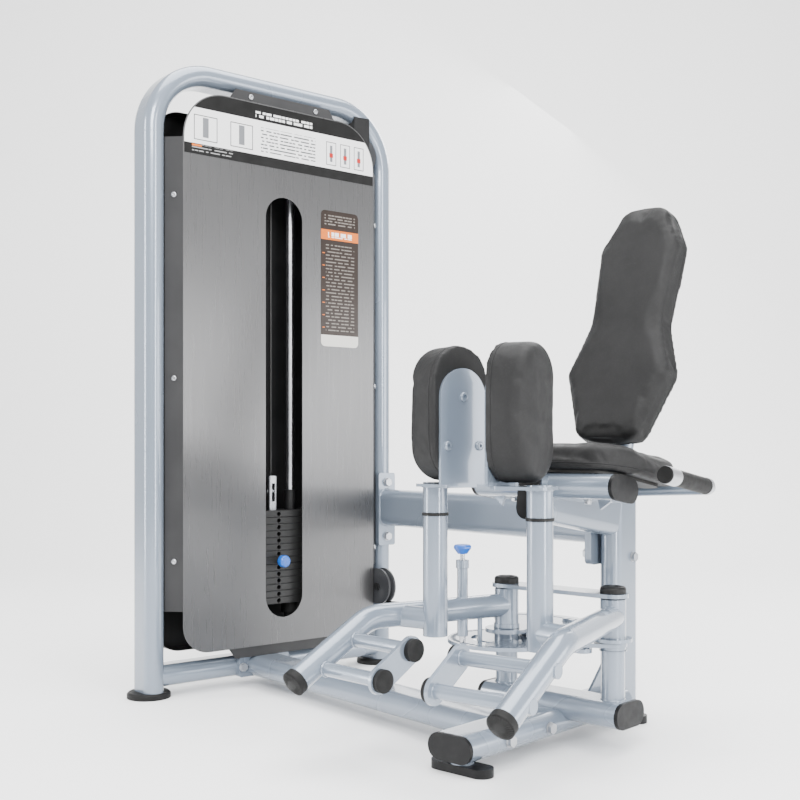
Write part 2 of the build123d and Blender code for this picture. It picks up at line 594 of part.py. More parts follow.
# A small triangular lug hangs under each end of the crossbar.
with BuildPart() as seat_crossbar:
    add(oval_bar(bar_place, OVAL_LONG, OVAL_SHORT, 2 * CROSS_HALF, WALL, turn=90))
    for side in (-1, 1):
        with BuildSketch(SEAT_LINE * Pos(0, 3, 0) * Rot(90, 0, 0)):
            with BuildLine():
                Polyline((side * 112, -OVAL_SHORT + 1), (side * 142, -OVAL_SHORT + 1), (side * 118, -67), close=True)
            make_face()
        extrude(amount=6)
save(seat_crossbar, "seat_crossbar")

# Black plastic caps close the open ends of the flat-oval tubes.
caps = [
    oval_bar(SEAT * Pos(0, FRONT_Y, BASE_Z) * Rot(90, 0, 0), OVAL_LONG, OVAL_SHORT, CAP_T),
    oval_bar(SEAT_LINE * Pos(0, BEAM_FRONT, -OVAL_LONG / 2) * Rot(90, 0, 0), OVAL_LONG, OVAL_SHORT, CAP_T, turn=90),
]
for side in (-1, 1):
    caps.append(oval_bar(SEAT * Pos(side * CROSS_HALF, 0, CROSS_Z) * Rot(0, side * 90, 0),
                         OVAL_LONG, OVAL_SHORT, CAP_T, turn=90))
    caps.append(oval_bar(SEAT_LINE * Pos(side * CROSS_HALF, 0, -OVAL_SHORT / 2) * Rot(0, side * 90, 0),
                         OVAL_LONG, OVAL_SHORT, CAP_T, turn=90))
group("tube_caps", caps)

SOFT_GAP = 0.2
SEAT_FRONT, SEAT_BACK, SEAT_HALF = -48.7, 209.0, 180.0
with BuildPart() as seat_board:
    with BuildSketch(SEAT_LINE * Pos(0, (SEAT_FRONT + SEAT_BACK) / 2 - 5, 0)):
        RectangleRounded(2 * SEAT_HALF - 60, SEAT_BACK - SEAT_FRONT - 40, 40)
    extrude(amount=BOARD_T)
save(seat_board, "seat_board")

with BuildPart() as seat_cushion:
    with BuildSketch(SEAT_LINE * Pos(0, 0, BOARD_T + SOFT_GAP)):
        with BuildLine():
            FilletPolyline(
                (-SEAT_HALF, SEAT_FRONT),
                (SEAT_HALF, SEAT_FRONT),
                (SEAT_HALF, SEAT_BACK),
                (-SEAT_HALF, SEAT_BACK),
                radius=[80, 80, 55, 55],
                close=True,
            )
        make_face()
    extrude(amount=CUSHION_T)
    fillet(seat_cushion.faces().sort_by(Axis.Z)[-1].edges(), 14)
save(seat_cushion, "seat_cushion")

HANDLE_R, GRIP_R, RING_R = 12.5, 16.5, 17.5
HANDLE_BEND = 28.0
SLEEVE, GRIP, RING = 36.0, 124.0, 9.0    # lengths, one behind the other from the front end
handles = []
grips = []
rings = []
for side in (-1, 1):
    front_end = seat(side * 235, 14, 538)
    corner = seat(side * 235, 212, 506)
    with BuildPart() as handle:
        add(bent_bar([seat(side * 18, 204, 496), corner, front_end], HANDLE_BEND, HANDLE_R))
        add([post_core, support_core, beam_core], mode=Mode.SUBTRACT)
    handles.append(handle.part)
    along = Plane(origin=front_end, z_dir=corner - front_end)
    grips.append(round_bar(along * Pos(0, 0, SLEEVE), GRIP_R, GRIP, HANDLE_R))
    grips.append(round_bar(along * Pos(0, 0, -4), GRIP_R, 4))
    rings.append(round_bar(along, RING_R, SLEEVE, HANDLE_R))
    rings.append(round_bar(along * Pos(0, 0, SLEEVE + GRIP), RING_R, RING, HANDLE_R))
group("handle_tubes", handles)
group("handle_grips", grips)
group("grip_rings", rings)

# ============================================================== seat unit: backrest
BACK_OUTLINE = [(77, 0, 35), (132, 152, 30), (93, 270, 60), (104, 454, 60), (54, 554, 45)]
BRACKETS = (120.0, 330.0)               # heights of the two plates up the back
BRACKET_T = 6.0


def back_shape(inset):
    """The backrest's waisted outline as points with their corner radii, drawn in by a margin."""
    right = [(half - inset, min(max(rise, inset), 554 - inset)) for half, rise, _ in BACK_OUTLINE]
    left = [(-half, rise) for half, rise in reversed(right)]
    bends = [bend for _, _, bend in BACK_OUTLINE]
    return FilletPolyline(*right, *left, radius=bends + bends[::-1], close=True)


with BuildPart() as back_cushion:
    with BuildSketch(BACK * Pos(0, 0, -CUSHION_T)):
        with BuildLine():
            back_shape(0)
        make_face()
    extrude(amount=CUSHION_T)
save(back_cushion, "back_cushion")

with BuildPart() as back_board:
    with BuildSketch(BACK * Pos(0, 0, -CUSHION_T - SOFT_GAP - BOARD_T)):
        with BuildLine():
            back_shape(14)
        make_face()
    extrude(amount=BOARD_T)
save(back_board, "back_board")

BOARD_BACK = CUSHION_T + SOFT_GAP + BOARD_T
with BuildPart() as back_support:
    add(support_core)
    for rise in BRACKETS:
        with BuildSketch(BACK * Pos(0, rise, -BOARD_BACK - BRACKET_T)):
            RectangleRounded(160, 50, 8)
        extrude(amount=BRACKET_T)
    add(round_bar(UP_BACK, ARM_OD / 2 - WALL, SUPPORT_HIGH - SUPPORT_LOW), mode=Mode.SUBTRACT)
    add(post_core, mode=Mode.SUBTRACT)
save(back_support, "back_support")

# ============================================================== seat unit: pivots
CAP_R, CAP_H = 25.5, 14.0
LINK_TOP = LINK_LOW + LINK_T
posts = []
for side, shoulder in ((-1, 180.0), (1, 195.0)):
    with BuildPart() as pivot_post:
        add(round_bar(SEAT * Pos(side * PIVOT_X, 0, CROSS_Z + OVAL_SHORT / 2), POST_R,
                      shoulder - CROSS_Z - OVAL_SHORT / 2))
        add(round_bar(SEAT * Pos(side * PIVOT_X, 0, shoulder), 27, 1.8))
        add(round_bar(SEAT * Pos(side * PIVOT_X, 0, shoulder), SPINDLE_R, LINK_TOP - shoulder))
    posts.append(pivot_post.part)
group("pivot_posts", posts)

with BuildPart() as link_bar:
    with BuildSketch(SEAT * Pos(0, 0, LINK_LOW)):
        SlotOverall(2 * PIVOT_X + LINK_W, LINK_W)
        with Locations((-PIVOT_X, 0), (PIVOT_X, 0)):
            Circle(SPINDLE_R, mode=Mode.SUBTRACT)
    extrude(amount=LINK_T)
save(link_bar, "link_bar")

with BuildPart() as pivot_caps:
    for side in (-1, 1):
        add(round_bar(SEAT * Pos(side * PIVOT_X, 0, LINK_TOP), CAP_R, CAP_H))
    fillet(pivot_caps.edges().group_by(Axis.Z)[-1], 6)
    for side in (-1, 1):
        add(round_bar(SEAT * Pos(side * PIVOT_X, 0, COLLAR_TOP + 0.3), POST_R, LINK_LOW - COLLAR_TOP - 0.3,
                      SPINDLE_R))
save(pivot_caps, "pivot_caps")

# ============================================================== seat unit: selector disc, cam and tie rod
ARM_ANGLE = degrees(atan2(BEND_Y, -(BEND_X - PIVOT_X)))     # the left arm's direction seen from its pivot
HOLE_COUNT, HOLE_RING, HOLE_R = 48, 112.3, 6.3
STOP_RING, STOP_R = 69.0, 5.0
HUB_R, HUB_TOP = 26.0, 204.0
BORE = SPINDLE_R + RUNNING
LEFT_PIVOT = SEAT * Pos(-PIVOT_X, 0, 0)
RIGHT_PIVOT = SEAT * Pos(PIVOT_X, 0, 0)


def sector(place, inner, outer, start, turn, thick):
    """A sector of a ring, from one angle on through another, standing on a place."""
    with BuildPart() as piece:
        with BuildSketch(place):
            with BuildLine():
                low = CenterArc((0, 0), inner, start, turn)
                high = CenterArc((0, 0), outer, start, turn)
                Line(low @ 0, high @ 0)
                Line(low @ 1, high @ 1)
            make_face()
        extrude(amount=thick)
    return piece.part


STOP_FROM, STOP_TURN, STOP_SLOT = ARM_ANGLE - 58, 80.0, 6.0
with BuildPart() as selector_disc:
    with BuildSketch(LEFT_PIVOT * Pos(0, 0, DISC_LOW)):
        Circle(DISC_R)
        Circle(BORE, mode=Mode.SUBTRACT)
        with PolarLocations(HOLE_RING, HOLE_COUNT, start_angle=ARM_ANGLE):
            Circle(HOLE_R, mode=Mode.SUBTRACT)
        with PolarLocations(STOP_RING, 2, start_angle=STOP_FROM, angular_range=STOP_TURN, endpoint=True):
            Circle(STOP_SLOT, mode=Mode.SUBTRACT)
    extrude(amount=DISC_T)
    add(sector(LEFT_PIVOT * Pos(0, 0, DISC_LOW), STOP_RING - STOP_SLOT, STOP_RING + STOP_SLOT, STOP_FROM, STOP_TURN,
               DISC_T), mode=Mode.SUBTRACT)
    add(round_bar(LEFT_PIVOT * Pos(0, 0, DISC_LOW + DISC_T), HUB_R, HUB_TOP - DISC_LOW - DISC_T, BORE))
save(selector_disc, "selector_disc")

CAM_RIM, CAM_FROM, CAM_SWEEP = 212.0, 62.0, 73.0
RIM_LOW, RIM_T = 200.5, 12.5
GROOVE_LOW, GROOVE_HIGH = 202.5, 211.3  # the cable comes in from a little below
CLAMP_ANGLE, CRANK_R, CRANK_ANGLE = 70.0, 60.0, 89.0
CRANK_PIN_R = 5.0
with BuildPart() as fan_cam:
    add(sector(LEFT_PIVOT * Pos(0, 0, HUB_TOP), 30, 195, CAM_FROM, CAM_SWEEP, CAM_T))
    add(round_bar(LEFT_PIVOT * Pos(0, 0, HUB_TOP), 45, CAM_T))
    add(sector(LEFT_PIVOT * Pos(0, 0, RIM_LOW), 190, CAM_RIM, CAM_FROM, CAM_SWEEP, RIM_T))
    add(sector(LEFT_PIVOT * Pos(0, 0, GROOVE_LOW), CAM_R - CABLE_R - 0.2, CAM_RIM + 2, CAM_FROM - 1, CAM_SWEEP + 2,
               GROOVE_HIGH - GROOVE_LOW), mode=Mode.SUBTRACT)
    for angle in (CLAMP_ANGLE - 4, CLAMP_ANGLE + 4):
        clamp = LEFT_PIVOT * Rot(0, 0, angle) * Pos(160, 0, HUB_TOP + CAM_T)
        add(hex_bolt(clamp, 13, 5))
    pin_place = LEFT_PIVOT * Rot(0, 0, CRANK_ANGLE) * Pos(CRANK_R, 0, DISC_LOW + DISC_T)
    add(round_bar(pin_place, CRANK_PIN_R, HUB_TOP - DISC_LOW - DISC_T))
    add(round_bar(LEFT_PIVOT * Pos(0, 0, RIM_LOW), BORE, 20), mode=Mode.SUBTRACT)
    add(round_bar(LEFT_PIVOT * Pos(0, 0, RIM_LOW), HUB_R, HUB_TOP - RIM_LOW), mode=Mode.SUBTRACT)
save(fan_cam, "fan_cam")

with BuildPart() as cam_cable:
    with BuildLine(LEFT_PIVOT * Pos(0, 0, CAM_Z)) as cam_route:
        CenterArc((0, 0), CAM_R, CLAMP_ANGLE - 6, 90 + TOWER_TURN - CLAMP_ANGLE + 6)
    with BuildSketch(Plane(origin=cam_route.line @ 0, z_dir=cam_route.line % 0)):
        Circle(CABLE_R)
    sweep(path=cam_route.line)
save(cam_cable, "cam_cable")

RIGHT_PIN_X, RIGHT_PIN_Y = 87.6, -43.9
ROD_LOW, ROD_T = 192.0, 8.0
ROD_EYE_R, ROD_EYE_BORE = 18.0, 13.4    # the right eye is wide: its pin wanders in it by 8 mm as the arms swing
left_pin = (-PIVOT_X + CRANK_R * cos(radians(CRANK_ANGLE)), CRANK_R * sin(radians(CRANK_ANGLE)))
rod_length = hypot(RIGHT_PIN_X - left_pin[0], RIGHT_PIN_Y - left_pin[1])
rod_turn = degrees(atan2(RIGHT_PIN_Y - left_pin[1], RIGHT_PIN_X - left_pin[0]))
ROD_LINE = SEAT * Pos(left_pin[0], left_pin[1], ROD_LOW) * Rot(0, 0, rod_turn)
with BuildPart() as tie_rod:
    add(round_bar(ROD_LINE, 13, ROD_T))
    add(round_bar(ROD_LINE * Pos(rod_length, 0, 0), ROD_EYE_R, ROD_T))
    add(round_bar(ROD_LINE * Pos(8, 0, ROD_T / 2) * ALONG_X, 4.9, rod_length - 18))
    add(round_bar(ROD_LINE * Pos(0, 0, -2), CRANK_PIN_R + RUNNING, 14), mode=Mode.SUBTRACT)
    add(round_bar(ROD_LINE * Pos(rod_length, 0, -2), ROD_EYE_BORE, 14), mode=Mode.SUBTRACT)
save(tie_rod, "tie_rod")

# ============================================================== seat unit: leg arms
RUNG_REAR, RUNG_FRONT, RUNG_R, RUNG_LONG, RUNG_OUT = (227, -372, 225), (231, -448, 180), 13.0, 165.0, 26.0
STEP_T, STEP_CAP_T = 8.0, 10.0
POP_LOW, POP_HIGH, POP_TOP = 204.0, 343.0, 359.0
pop_place = LEFT_PIVOT * Rot(0, 0, ARM_ANGLE) * Pos(HOLE_RING, 0, 0)
stop_place = LEFT_PIVOT * Rot(0, 0, ARM_ANGLE) * Pos(STOP_RING, 0, 0)


def pad_axis(side):
    """Frame on a pad post's axis at floor level, x pointing in through the pad's back plate."""
    turn = -PAD_TURN if side < 0 else 180 + PAD_TURN
    return SEAT * Pos(side * PAD_X, PAD_Y, 0) * Rot(0, 0, turn)


for side, name in ((-1, "left"), (1, "right")):
    pivot = LEFT_PIVOT if side < 0 else RIGHT_PIVOT
    pad = pad_axis(side)
    toe = seat(side * TOE_X, TOE_Y, TOE_Z)
    bend = seat(side * BEND_X, BEND_Y, ARM_Z)
    forward = (toe - bend).normalized()
    inward = forward.cross(Vector(0, 0, 1)).normalized() * side
    rungs = [Plane(origin=seat(side * x, y, z), z_dir=inward) for x, y, z in (RUNG_REAR, RUNG_FRONT)]
    step_line = rungs[1].origin - rungs[0].origin
    step_mid = (rungs[0].origin + rungs[1].origin) / 2 + inward * RUNG_LONG
    step = Plane(origin=step_mid, x_dir=step_line, z_dir=inward)
    with BuildPart() as arm:
        add(bent_bar([seat(side * PIVOT_X, 0, ARM_Z), bend, toe], 90, ARM_OD / 2, ARM_OD / 2 - WALL))
        add(round_bar(pad * Pos(0, 0, PAD_LOW), ARM_OD / 2, SWIVEL_Z - 3 - PAD_LOW))
        stub_from = seat(side * 203, -250, ARM_Z - 3)
        stub_to = seat(side * PAD_X, PAD_Y, ARM_Z - 3)
        add(round_bar(Plane(origin=stub_from, z_dir=stub_to - stub_from), 22, (stub_to - stub_from).length))
        for rung in rungs:
            add(round_bar(rung * Pos(0, 0, -RUNG_OUT), RUNG_R, RUNG_OUT + RUNG_LONG + 1))
        with BuildSketch(step):
            SlotOverall(step_line.length + 50, 50)
        extrude(amount=STEP_T)
        add(round_bar(pad * Pos(0, 0, 300), 20.1, 200), mode=Mode.SUBTRACT)
        if side < 0:
            add(round_bar(pivot * Pos(0, 0, 212.5), COLLAR_R, COLLAR_TOP - 212.5))
            add(round_bar(pivot * Pos(0, 0, 212.5), 27, 9.5))
            add(round_bar(pop_place * Pos(0, 0, POP_LOW), 11, POP_HIGH - POP_LOW))
            add(round_bar(pop_place * Pos(0, 0, POP_HIGH), 13.5, POP_TOP - POP_HIGH))
            add(round_bar(pop_place * Pos(0, 0, POP_LOW - 1), 6.1, POP_TOP - POP_LOW + 2), mode=Mode.SUBTRACT)
            add(round_bar(stop_place * Pos(0, 0, DISC_LOW + 6), STOP_R, 54))
        else:
            add(round_bar(pivot * Pos(0, 0, 197), COLLAR_R, COLLAR_TOP - 197))
            add(round_bar(pivot * Pos(0, 0, 213), 37, 7))
            with BuildSketch(pivot * Pos(0, 0, 203)):
                Circle(27)
                with Locations((RIGHT_PIN_X - PIVOT_X, RIGHT_PIN_Y)):
                    Circle(12)
                make_hull()
            extrude(amount=8)
            add(round_bar(SEAT * Pos(RIGHT_PIN_X, RIGHT_PIN_Y, 190.5), CRANK_PIN_R, 14))
        add(round_bar(pivot * Pos(0, 0, 180), BORE, 200), mode=Mode.SUBTRACT)
    save(arm, f"arm_{name}")

    caps = [round_bar(Plane(origin=toe, z_dir=forward), ARM_OD / 2 + 1, 14)]
    for half in (-step_line.length / 2, step_line.length / 2):
        caps.append(round_bar(step * Pos(half, 0, STEP_T), 21, STEP_CAP_T))
    group(f"arm_caps_{name}", caps)

    with BuildPart() as pad_mount:
        add(round_bar(pad * Pos(0, 0, 330), 20, FLANGE_Z - 330))
        add(round_bar(pad * Pos(0, 0, SWIVEL_Z - 2.8), 26, 5.8))
        add(round_bar(pad * Pos(0, 0, SWIVEL_Z + 3), ARM_OD / 2, FLANGE_Z - SWIVEL_Z - 3))
        with BuildSketch(pad * Pos(29, 0, FLANGE_Z)):
            RectangleRounded(108, 68, 12)
        extrude(amount=6)
        add(round_bar(pad * Pos(0, 0, FLANGE_Z + 6), 24, 2.5))
        with BuildSketch(pad * Pos(PLATE_IN, 0, 0) * ALONG_X):
            with Locations((-(FLANGE_Z + 6 + 663) / 2, 0)):
                Rectangle(663 - FLANGE_Z - 6, 111)
            with Locations((-683.5, 0)):
                Circle(55.5)
            with Locations((-673, 0)):
                Rectangle(22, 111)
        extrude(amount=6)
        with BuildSketch(pad * Pos(PLATE_IN, 0, 0) * ALONG_X):
            with Locations((-FLANGE_Z - 6, 0)):
                Rectangle(12, 68)
        extrude(amount=6)
        for across, height in ((0, 685), (-39, 593), (39, 593)):
            add(button_head(pad * Pos(PLATE_IN + 6, across, height) * ALONG_X, 9, 5))
    save(pad_mount, f"pad_mount_{name}")

    with BuildPart() as pad_cushion:
        with BuildSketch(pad * Pos(PAD_FACE, 0, (PAD_FOOT + PAD_HEAD) / 2) * ALONG_X):
            SlotOverall(PAD_HEAD - PAD_FOOT, PAD_W)
        extrude(amount=PLATE_IN - PAD_FACE - SOFT_GAP)
    save(pad_cushion, f"pad_cushion_{name}")

# The pull knob flares upward like a mushroom.
KNOB_Z, KNOB_FLARE, KNOB_FOOT_R, KNOB_R = POP_TOP + 13, 11.0, 10.0, 18.0
with BuildPart() as pop_pin:
    add(round_bar(pop_place * Pos(0, 0, DISC_LOW + 2), 6, POP_TOP - DISC_LOW - 2))
    add(round_bar(pop_place * Pos(0, 0, POP_TOP), 5, 13))
    for height, radius in ((KNOB_Z, KNOB_FOOT_R), (KNOB_Z + KNOB_FLARE, KNOB_R)):
        with BuildSketch(pop_place * Pos(0, 0, height)):
            Circle(radius)
    loft()
    add(round_bar(pop_place * Pos(0, 0, KNOB_Z + KNOB_FLARE), KNOB_R, 8))
    fillet(pop_pin.edges().group_by(Axis.Z)[-1], 5)
save(pop_pin, "pop_pin")

# ============================================================== bolts of the frame
HEX_M12, HEX_M10, HEX_M8 = (19.0, 8.0), (17.0, 7.0), (13.0, 5.5)
bolts = []
for z in (493, 347):
    bolts.append(hex_bolt(TOWER * Pos(BOOM_PLATE_FRONT, LEG_Q, z) * ALONG_X, *HEX_M12))
for q in (-112, 12):
    bolts.append(hex_bolt(TOWER * Pos(BRACKET_FRONT, q, BASE_Z) * ALONG_X, *HEX_M10))
for y in (178, 286):
    bolts.append(hex_bolt(SEAT * Pos(-FLANGE_IN - 2 * FLANGE_T, y, 360) * Rot(0, -90, 0), *HEX_M12))
bolts.append(hex_bolt(SEAT * Pos(OVAL_SHORT / 2, 250, 352) * ALONG_X, *HEX_M10))
for y in (-230, -101):
    bolts.append(hex_bolt(SEAT * Pos(OVAL_LONG / 2, y, BASE_Z) * ALONG_X, *HEX_M12))
for side in (-1, 1):
    bolts.append(hex_bolt(SEAT_LINE * Pos(side * 88, 0, -OVAL_SHORT) * Rot(180, 0, 0), *HEX_M8))
    for rise in BRACKETS:
        bolts.append(hex_bolt(BACK * Pos(side * 62, rise, -BOARD_BACK - BRACKET_T) * Rot(180, 0, 0), *HEX_M8))
group("frame_bolts", bolts)
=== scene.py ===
"""Looks of a seated inner and outer thigh machine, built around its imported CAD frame.

Positions come from the frame.  "Seat" points are given in metres from the middle of the two arm pivots at floor
level, "tower" points from the middle of the tower's legs, p along the boom and q along the row of its legs.
"""
from math import cos, pi, radians, sin, tan

import bmesh
import bpy
from mathutils import Matrix, Vector
from mathutils.bvhtree import BVHTree
from mathutils.noise import noise as grain_at


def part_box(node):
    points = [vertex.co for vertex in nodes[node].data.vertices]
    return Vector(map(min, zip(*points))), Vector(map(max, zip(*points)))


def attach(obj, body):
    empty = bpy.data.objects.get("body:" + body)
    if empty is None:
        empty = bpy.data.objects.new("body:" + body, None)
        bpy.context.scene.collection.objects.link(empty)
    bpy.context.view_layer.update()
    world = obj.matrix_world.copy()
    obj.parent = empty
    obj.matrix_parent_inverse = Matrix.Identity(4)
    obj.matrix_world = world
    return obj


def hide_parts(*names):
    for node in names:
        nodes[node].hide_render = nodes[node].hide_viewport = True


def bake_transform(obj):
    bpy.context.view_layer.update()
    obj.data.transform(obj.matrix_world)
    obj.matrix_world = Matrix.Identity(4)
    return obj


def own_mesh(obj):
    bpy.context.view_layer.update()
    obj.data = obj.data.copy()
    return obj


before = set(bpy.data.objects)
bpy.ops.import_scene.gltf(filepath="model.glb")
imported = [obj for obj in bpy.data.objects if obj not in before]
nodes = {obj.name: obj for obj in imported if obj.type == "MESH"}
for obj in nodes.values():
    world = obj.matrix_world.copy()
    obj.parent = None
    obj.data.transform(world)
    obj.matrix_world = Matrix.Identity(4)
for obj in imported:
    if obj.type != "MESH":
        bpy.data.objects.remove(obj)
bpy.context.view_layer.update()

# ---- driving dimensions, metres and degrees ----
SEAT_AT = Vector((0.3651, 0.0583, 0.0))
TOWER_AT = SEAT_AT + Vector((-0.8855, 0.0138, 0.0))
TOWER_TURN = -8.2
PIVOT_X = 0.1285
PAD_X, PAD_Y, PAD_TURN = 0.123, -0.238, 10.0
SEAT_TILT, SEAT_LINE = 9.5, Vector((0.0, -0.017, 0.535))
BACK_LEAN, BACK_FOOT = 18.7, Vector((0.0, 0.1634, 0.609))
BOARD_T, CUSHION_T = 0.0062, 0.054
CABLE_R, CAM_R, CAM_Z = 0.003, 0.20669, 0.208
CABLE_TOP = 1.367

TURN = Matrix.Rotation(radians(TOWER_TURN), 4, "Z")
TOWER = Matrix.Translation(TOWER_AT) @ TURN
SEAT = Matrix.Translation(SEAT_AT)
SEAT_PLANE = SEAT @ Matrix.Translation(SEAT_LINE) @ Matrix.Rotation(radians(-SEAT_TILT), 4, "X")
BACK_PLANE = SEAT @ Matrix.Translation(BACK_FOOT) @ Matrix.Rotation(radians(90 - BACK_LEAN), 4, "X")


def pad_plane(side):
    """Frame of a thigh pad: x points in through its back plate, z up, origin on the post's axis at the floor."""
    turn = -PAD_TURN if side < 0 else 180 + PAD_TURN
    return SEAT @ Matrix.Translation((side * PAD_X, PAD_Y, 0)) @ Matrix.Rotation(radians(turn), 4, "Z")


# ============================================================== shader helpers
class Shader:
    """One procedural material: a Principled BSDF and short calls that add the nodes feeding it."""

    def __init__(self, name):
        self.material = bpy.data.materials.new(name)
        self.material.use_nodes = True
        self.tree = self.material.node_tree
        self.bsdf = self.tree.nodes["Principled BSDF"]
        self.place = self.tree.nodes.new("ShaderNodeTexCoord").outputs["Object"]

    def node(self, kind, inputs=None, **settings):
        """Adds a node, sets its properties and its inputs, each a value or another node's output."""
        made = self.tree.nodes.new("ShaderNode" + kind)
        for key, value in settings.items():
            setattr(made, key, value)
        for key, value in (inputs or {}).items():
            self.feed(made.inputs[key], value)
        return made

    def feed(self, socket, value):
        """Sets an input to a value, or links it to an output."""
        if isinstance(value, bpy.types.NodeSocket):
            self.tree.links.new(value, socket)
        else:
            socket.default_value = value

    def set(self, **values):
        """Feeds the BSDF; underscores in a name stand for spaces."""
        for key, value in values.items():
            self.feed(self.bsdf.inputs[key.replace("_", " ")], value)
        return self

    def noise(self, scale, detail=3.0, rough=0.5, stretch=(1, 1, 1)):
        place = self.node("Mapping", {"Vector": self.place, "Scale": stretch}).outputs["Vector"]
        made = self.node("TexNoise", {"Vector": place, "Scale": scale, "Detail": detail, "Roughness": rough})
        return made.outputs["Fac"]

    def cells(self, scale, feature="F1"):
        made = self.node("TexVoronoi", {"Vector": self.place, "Scale": scale}, feature=feature)
        return made.outputs["Distance"]

    def ramp(self, value, low, high, out_low=0.0, out_high=1.0):
        made = self.node("MapRange", {"Value": value, "From Min": low, "From Max": high, "To Min": out_low,
                                      "To Max": out_high}, interpolation_type="SMOOTHSTEP")
        return made.outputs["Result"]

    def math(self, kind, a, b=0.0):
        return self.node("Math", {0: a, 1: b}, operation=kind).outputs[0]

    def mix(self, share, a, b):
        """A colour between a and b; colours are RGB triples or outputs."""
        made = self.node("Mix", {"Factor": share}, data_type="RGBA")
        for socket, colour in ((made.inputs[6], a), (made.inputs[7], b)):
            self.feed(socket, colour if isinstance(colour, bpy.types.NodeSocket) else (*colour, 1.0))
        return made.outputs[2]

    def bump(self, height, distance, strength=1.0, under=None):
        inputs = {"Height": height, "Distance": distance, "Strength": strength}
        if under is not None:
            inputs["Normal"] = under
        return self.node("Bump", inputs).outputs["Normal"]

    def soft_edges(self, radius):
        """The normal of the shape with its edges rounded, as a painted or moulded edge is."""
        return self.node("Bevel", {"Radius": radius}, samples=6).outputs["Normal"]

    def edge_wear(self, radius, amount):
        """About 1 on sharp edges and 0 elsewhere: the rounded normal leaves the true one there."""
        true = self.node("NewGeometry").outputs["Normal"]
        dot = self.node("VectorMath", {0: self.soft_edges(radius), 1: true}, operation="DOT_PRODUCT").outputs["Value"]
        return self.ramp(dot, 1.0 - amount, 0.999, 1.0, 0.0)

    def along(self, direction, start):
        """Distance of a point from start along a direction, in metres."""
        shifted = self.node("VectorMath", {0: self.place, 1: tuple(start)}, operation="SUBTRACT").outputs["Vector"]
        made = self.node("VectorMath", {0: shifted, 1: tuple(direction)}, operation="DOT_PRODUCT")
        return made.outputs["Value"]

    def above(self, value, limit):
        return self.math("GREATER_THAN", value, limit)

    def within(self, value, low, high):
        """1 between two limits, else 0."""
        return self.math("MULTIPLY", self.above(value, low), self.math("LESS_THAN", value, high))


# ============================================================== materials
PAINT, PAINT_DEEP = (0.185, 0.222, 0.275), (0.170, 0.205, 0.255)
CHARCOAL, CHARCOAL_LIGHT = (0.0070, 0.0070, 0.0073), (0.0105, 0.0105, 0.0108)
BLACK, BLACK_WORN = (0.004, 0.004, 0.0045), (0.010, 0.010, 0.010)
STEEL = (0.40, 0.41, 0.43)
KNOB_BLUE = (0.004, 0.085, 0.42)


def paint_on(shader, colour, deep, gloss=0.24, edges=0.0012):
    """Smooth sprayed paint: slow tone shifts, faint orange peel, a clear glossy coat and rounded edges."""
    tone = shader.ramp(shader.noise(2.5, 2), 0.30, 0.70)
    flake = shader.ramp(shader.noise(1400, 1), 0.55, 0.80, 0.0, 0.10)
    body = shader.mix(flake, shader.mix(tone, deep, colour), tuple(c * 1.6 for c in colour))
    peel = shader.bump(shader.noise(120, 0), 0.00001, 0.35, shader.soft_edges(edges))
    shader.set(Base_Color=body, Metallic=0.35, Normal=peel, Coat_Weight=0.8, Coat_Roughness=0.05)
    return shader.set(Roughness=shader.ramp(shader.noise(6, 1), 0.2, 0.8, gloss, gloss + 0.04))


def frame_paint():
    return paint_on(Shader("frame_paint"), PAINT, PAINT_DEEP).material


def panel_paint():
    """Mid-grey satin sheet metal with a fine vertical brushing under its lacquer."""
    s = Shader("panel_satin")
    brushing = s.noise(260, 3, 0.6, stretch=(1, 1, 0.02))
    tone = s.ramp(s.noise(2.0, 1), 0.3, 0.7)
    s.set(Base_Color=s.mix(tone, (0.105, 0.105, 0.107), (0.118, 0.118, 0.120)), Metallic=0.75)
    s.set(Roughness=s.ramp(brushing, 0.3, 0.7, 0.27, 0.31), Coat_Weight=0.15, Coat_Roughness=0.2)
    return s.set(Normal=s.bump(brushing, 0.000004, 0.4, s.soft_edges(0.0008))).material


def powder_coat(name, colour, lighter):
    """Dark powder coat: a fine pebbled skin with slightly worn edges."""
    s = Shader(name)
    pebble = s.noise(620, 2)
    tone = s.mix(s.ramp(s.noise(8, 3), 0.35, 0.7), colour, lighter)
    s.set(Base_Color=s.mix(s.math("MULTIPLY", s.edge_wear(0.001, 0.3), 0.3), tone, (0.07, 0.07, 0.072)))
    s.set(Roughness=s.ramp(s.noise(50, 3), 0.3, 0.7, 0.42, 0.52), Specular_IOR_Level=0.25)
    return s.set(Normal=s.bump(pebble, 0.00008, 0.7, s.soft_edges(0.001))).material


def steel(name, rough, brushed):
    """Bare or plated steel with fine scratches."""
    s = Shader(name)
    scratch = s.noise(500, 4, 0.65, stretch=(1, 1, 0.05) if brushed else (1, 1, 1))
    s.set(Base_Color=s.mix(s.ramp(s.noise(12, 3), 0.35, 0.7), STEEL, (0.52, 0.53, 0.55)), Metallic=1.0)
    s.set(Roughness=s.ramp(scratch, 0.25, 0.75, rough, rough + 0.14))
    return s.set(Normal=s.bump(scratch, 0.00002, 0.5, s.soft_edges(0.0006))).material


def plastic_on(shader, colour=BLACK, worn=BLACK_WORN, rough=0.42):
    """Moulded black plastic or rubber: fine spark-eroded texture, paler where it has been rubbed."""
    dust = shader.ramp(shader.noise(25, 4), 0.45, 0.75)
    rub = shader.math("MULTIPLY", shader.edge_wear(0.0015, 0.3), 0.35)
    shader.set(Base_Color=shader.mix(rub, shader.mix(dust, colour, worn), (0.030, 0.030, 0.030)))
    shader.set(Roughness=shader.ramp(shader.noise(70, 3), 0.3, 0.7, rough, rough + 0.10), Specular_IOR_Level=0.22)
    return shader.set(Normal=shader.bump(shader.noise(800, 2), 0.00006, 0.6, shader.soft_edges(0.0015)))


